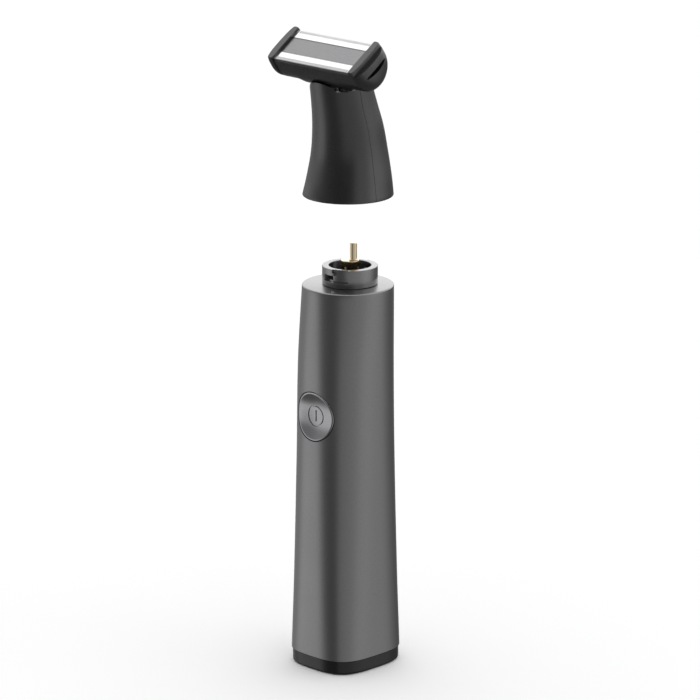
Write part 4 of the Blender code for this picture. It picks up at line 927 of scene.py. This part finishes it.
def make_guards():
    """The two chrome combs and the satin panel that lies between them."""
    inner_edge = BLADE_HALF_WIDTH - GUARD_WIDTH
    outline = comb_outline(2 * BLADE_HALF_LENGTH, GUARD_WIDTH, TEETH, TOOTH_SLOT, TOOTH_LENGTH)
    for end, turn in (("front", 0.0), ("rear", math.pi)):
        place = Matrix.Rotation(turn, 4, "Z") @ Matrix.Translation((0, -inner_edge, 0))
        guard = prism(f"comb_{end}", outline, DECK - GUARD_THICKNESS, DECK, place)
        soften(guard, 0.05 * MM, 2, 40)
        place_in_cartridge(guard, f"guard_{end}")
    panel = block("blade_panel", (-BLADE_HALF_LENGTH, -inner_edge + FIT, DECK - FIT - PANEL_THICKNESS),
                  (BLADE_HALF_LENGTH, inner_edge - FIT, DECK - FIT))
    soften(panel, 0.12 * MM, 3, 40)
    place_in_cartridge(panel, "center_panel", "collar_grey")


def finish_inner_nodes():
    """Give every frame node its own finish, and the cutters a darker one than their slot's: near black, a painted
    shade for the comb's slots that they show through.
    """
    for node, item in frame["nodes"].items():
        finish = FINISHES[slot_of(node)]
        # the cutters are painted near black, standing in for the shade inside the comb's slots
        if node in ("cutter_front", "cutter_rear"):
            finish = FINISHES["ground_steel"]
        if item.data.materials:
            for i in range(len(item.material_slots)):
                item.material_slots[i].material = finish
        else:
            item.data.materials.append(finish)


# ---- stage ------------------------------------------------------------------------------
TARGET = Vector((0, 0.0019, 0.09814))
CAMERA_AZIMUTH = math.radians(45.0)
CAMERA_ELEVATION = math.radians(15.21)
CAMERA_DISTANCE = 1.256
CAMERA_LENS = 213.3


def make_camera():
    level = math.cos(CAMERA_ELEVATION)
    away = Vector((math.sin(CAMERA_AZIMUTH) * level, -math.cos(CAMERA_AZIMUTH) * level,
                   math.sin(CAMERA_ELEVATION)))
    data = bpy.data.cameras.new("camera")
    data.lens = CAMERA_LENS
    data.sensor_width = 36.0
    data.clip_end = 50.0
    camera = bpy.data.objects.new("camera", data)
    camera.location = TARGET + away * CAMERA_DISTANCE
    camera.rotation_euler = away.to_track_quat("Z", "Y").to_euler()
    bpy.context.scene.collection.objects.link(camera)
    bpy.context.scene.camera = camera


def make_floor():
    work = bmesh.new()
    bmesh.ops.create_grid(work, x_segments=4, y_segments=4, size=12.0)
    floor = from_bmesh("floor", work)
    finish = Finish("floor_paper", 0.9, 0.0)
    finish.tones(finish.noise(3.0), around((0.93, 0.93, 0.93), 0.01))
    floor.data.materials.append(finish.material)
    floor.visible_glossy = False
    floor.visible_shadow = False


# Softboxes and flags round the object: brightness by azimuth, from -Y towards +X.
LEVEL_LIGHT = ((-180, 0.15), (-110, 0.35), (-75, 0.50), (-47, 0.95), (-32, 0.45), (-8, 0.16),
               (10, 0.17), (36, 0.43), (80, 0.52), (120, 0.70), (138, 0.60), (155, 0.33), (180, 0.15))
UPPER_LIGHT = ((-180, 1.7), (-135, 1.7), (-45, 0.35), (45, 0.10), (75, 0.60), (90, 0.60),
               (115, 1.2), (140, 1.2), (180, 1.7))
LOWER_LIGHT = 0.14
CEILING_LIGHT = 1.2


def make_world():
    """Studio surroundings: two rings of soft panels, a bright ceiling and a dark underside."""
    world = bpy.data.worlds.new("studio")
    bpy.context.scene.world = world
    world.use_nodes = True
    tree = world.node_tree
    nodes, links = tree.nodes, tree.links

    def math_node(operation, first, second):
        node = nodes.new("ShaderNodeMath")
        node.operation = operation
        for socket, value in zip(node.inputs, (first, second)):
            if isinstance(value, (int, float)):
                socket.default_value = value
            else:
                links.new(value, socket)
        return node.outputs[0]

    def ramp_node(source, stops):
        node = nodes.new("ShaderNodeFloatCurve")
        curve = node.mapping.curves[0]
        top = max(value for _, value in stops)
        places = [((azimuth + 180) / 360, value / top) for azimuth, value in stops]
        curve.points[0].location = places[0]
        curve.points[1].location = places[-1]
        for place in places[1:-1]:
            curve.points.new(*place)
        node.mapping.update()
        links.new(source, node.inputs["Value"])
        return math_node("MULTIPLY", node.outputs["Value"], top)

    def blend_node(source, low, high, first, second):
        fade = nodes.new("ShaderNodeMapRange")
        fade.interpolation_type = "SMOOTHSTEP"
        fade.inputs["From Min"].default_value = math.sin(math.radians(low))
        fade.inputs["From Max"].default_value = math.sin(math.radians(high))
        links.new(source, fade.inputs["Value"])
        share = fade.outputs["Result"]
        rest = math_node("SUBTRACT", 1.0, share)
        return math_node("ADD", math_node("MULTIPLY", first, rest), math_node("MULTIPLY", second, share))

    direction = nodes.new("ShaderNodeTexCoord").outputs["Generated"]
    split = nodes.new("ShaderNodeSeparateXYZ")
    links.new(direction, split.inputs[0])
    back = math_node("MULTIPLY", split.outputs["Y"], -1.0)
    azimuth = math_node("ARCTAN2", split.outputs["X"], back)
    turn = math_node("ADD", math_node("DIVIDE", azimuth, math.tau), 0.5)
    height = split.outputs["Z"]
    level = ramp_node(turn, LEVEL_LIGHT)
    upper = ramp_node(turn, UPPER_LIGHT)
    lit = blend_node(height, -38, -27, LOWER_LIGHT, level)
    lit = blend_node(height, -5, 7, lit, upper)
    lit = blend_node(height, 28, 45, lit, CEILING_LIGHT)
    background = nodes["Background"]
    links.new(lit, background.inputs["Strength"])
    background.inputs["Color"].default_value = (1, 1, 1, 1)


def make_lights():
    """One large softbox, where the blades' flat face throws it back to the camera."""
    data = bpy.data.lights.new("softbox", "AREA")
    data.shape = "SQUARE"
    data.size = 0.8
    data.energy = 0.12
    softbox = bpy.data.objects.new("softbox", data)
    towards = Vector((-0.682, 0.0, 0.731))
    softbox.location = middle("center_panel") + towards * 1.3
    softbox.rotation_euler = towards.to_track_quat("Z", "Y").to_euler()
    bpy.context.scene.collection.objects.link(softbox)


FINISHES = make_finishes()
make_camera()
make_shell()
make_base()
make_collar()
make_drive()
make_button()
make_boot()
make_neck()
make_trough()
make_end_caps()
make_guards()
finish_inner_nodes()
make_floor()
make_world()
make_lights()
bpy.context.scene.view_settings.view_transform = "Standard"
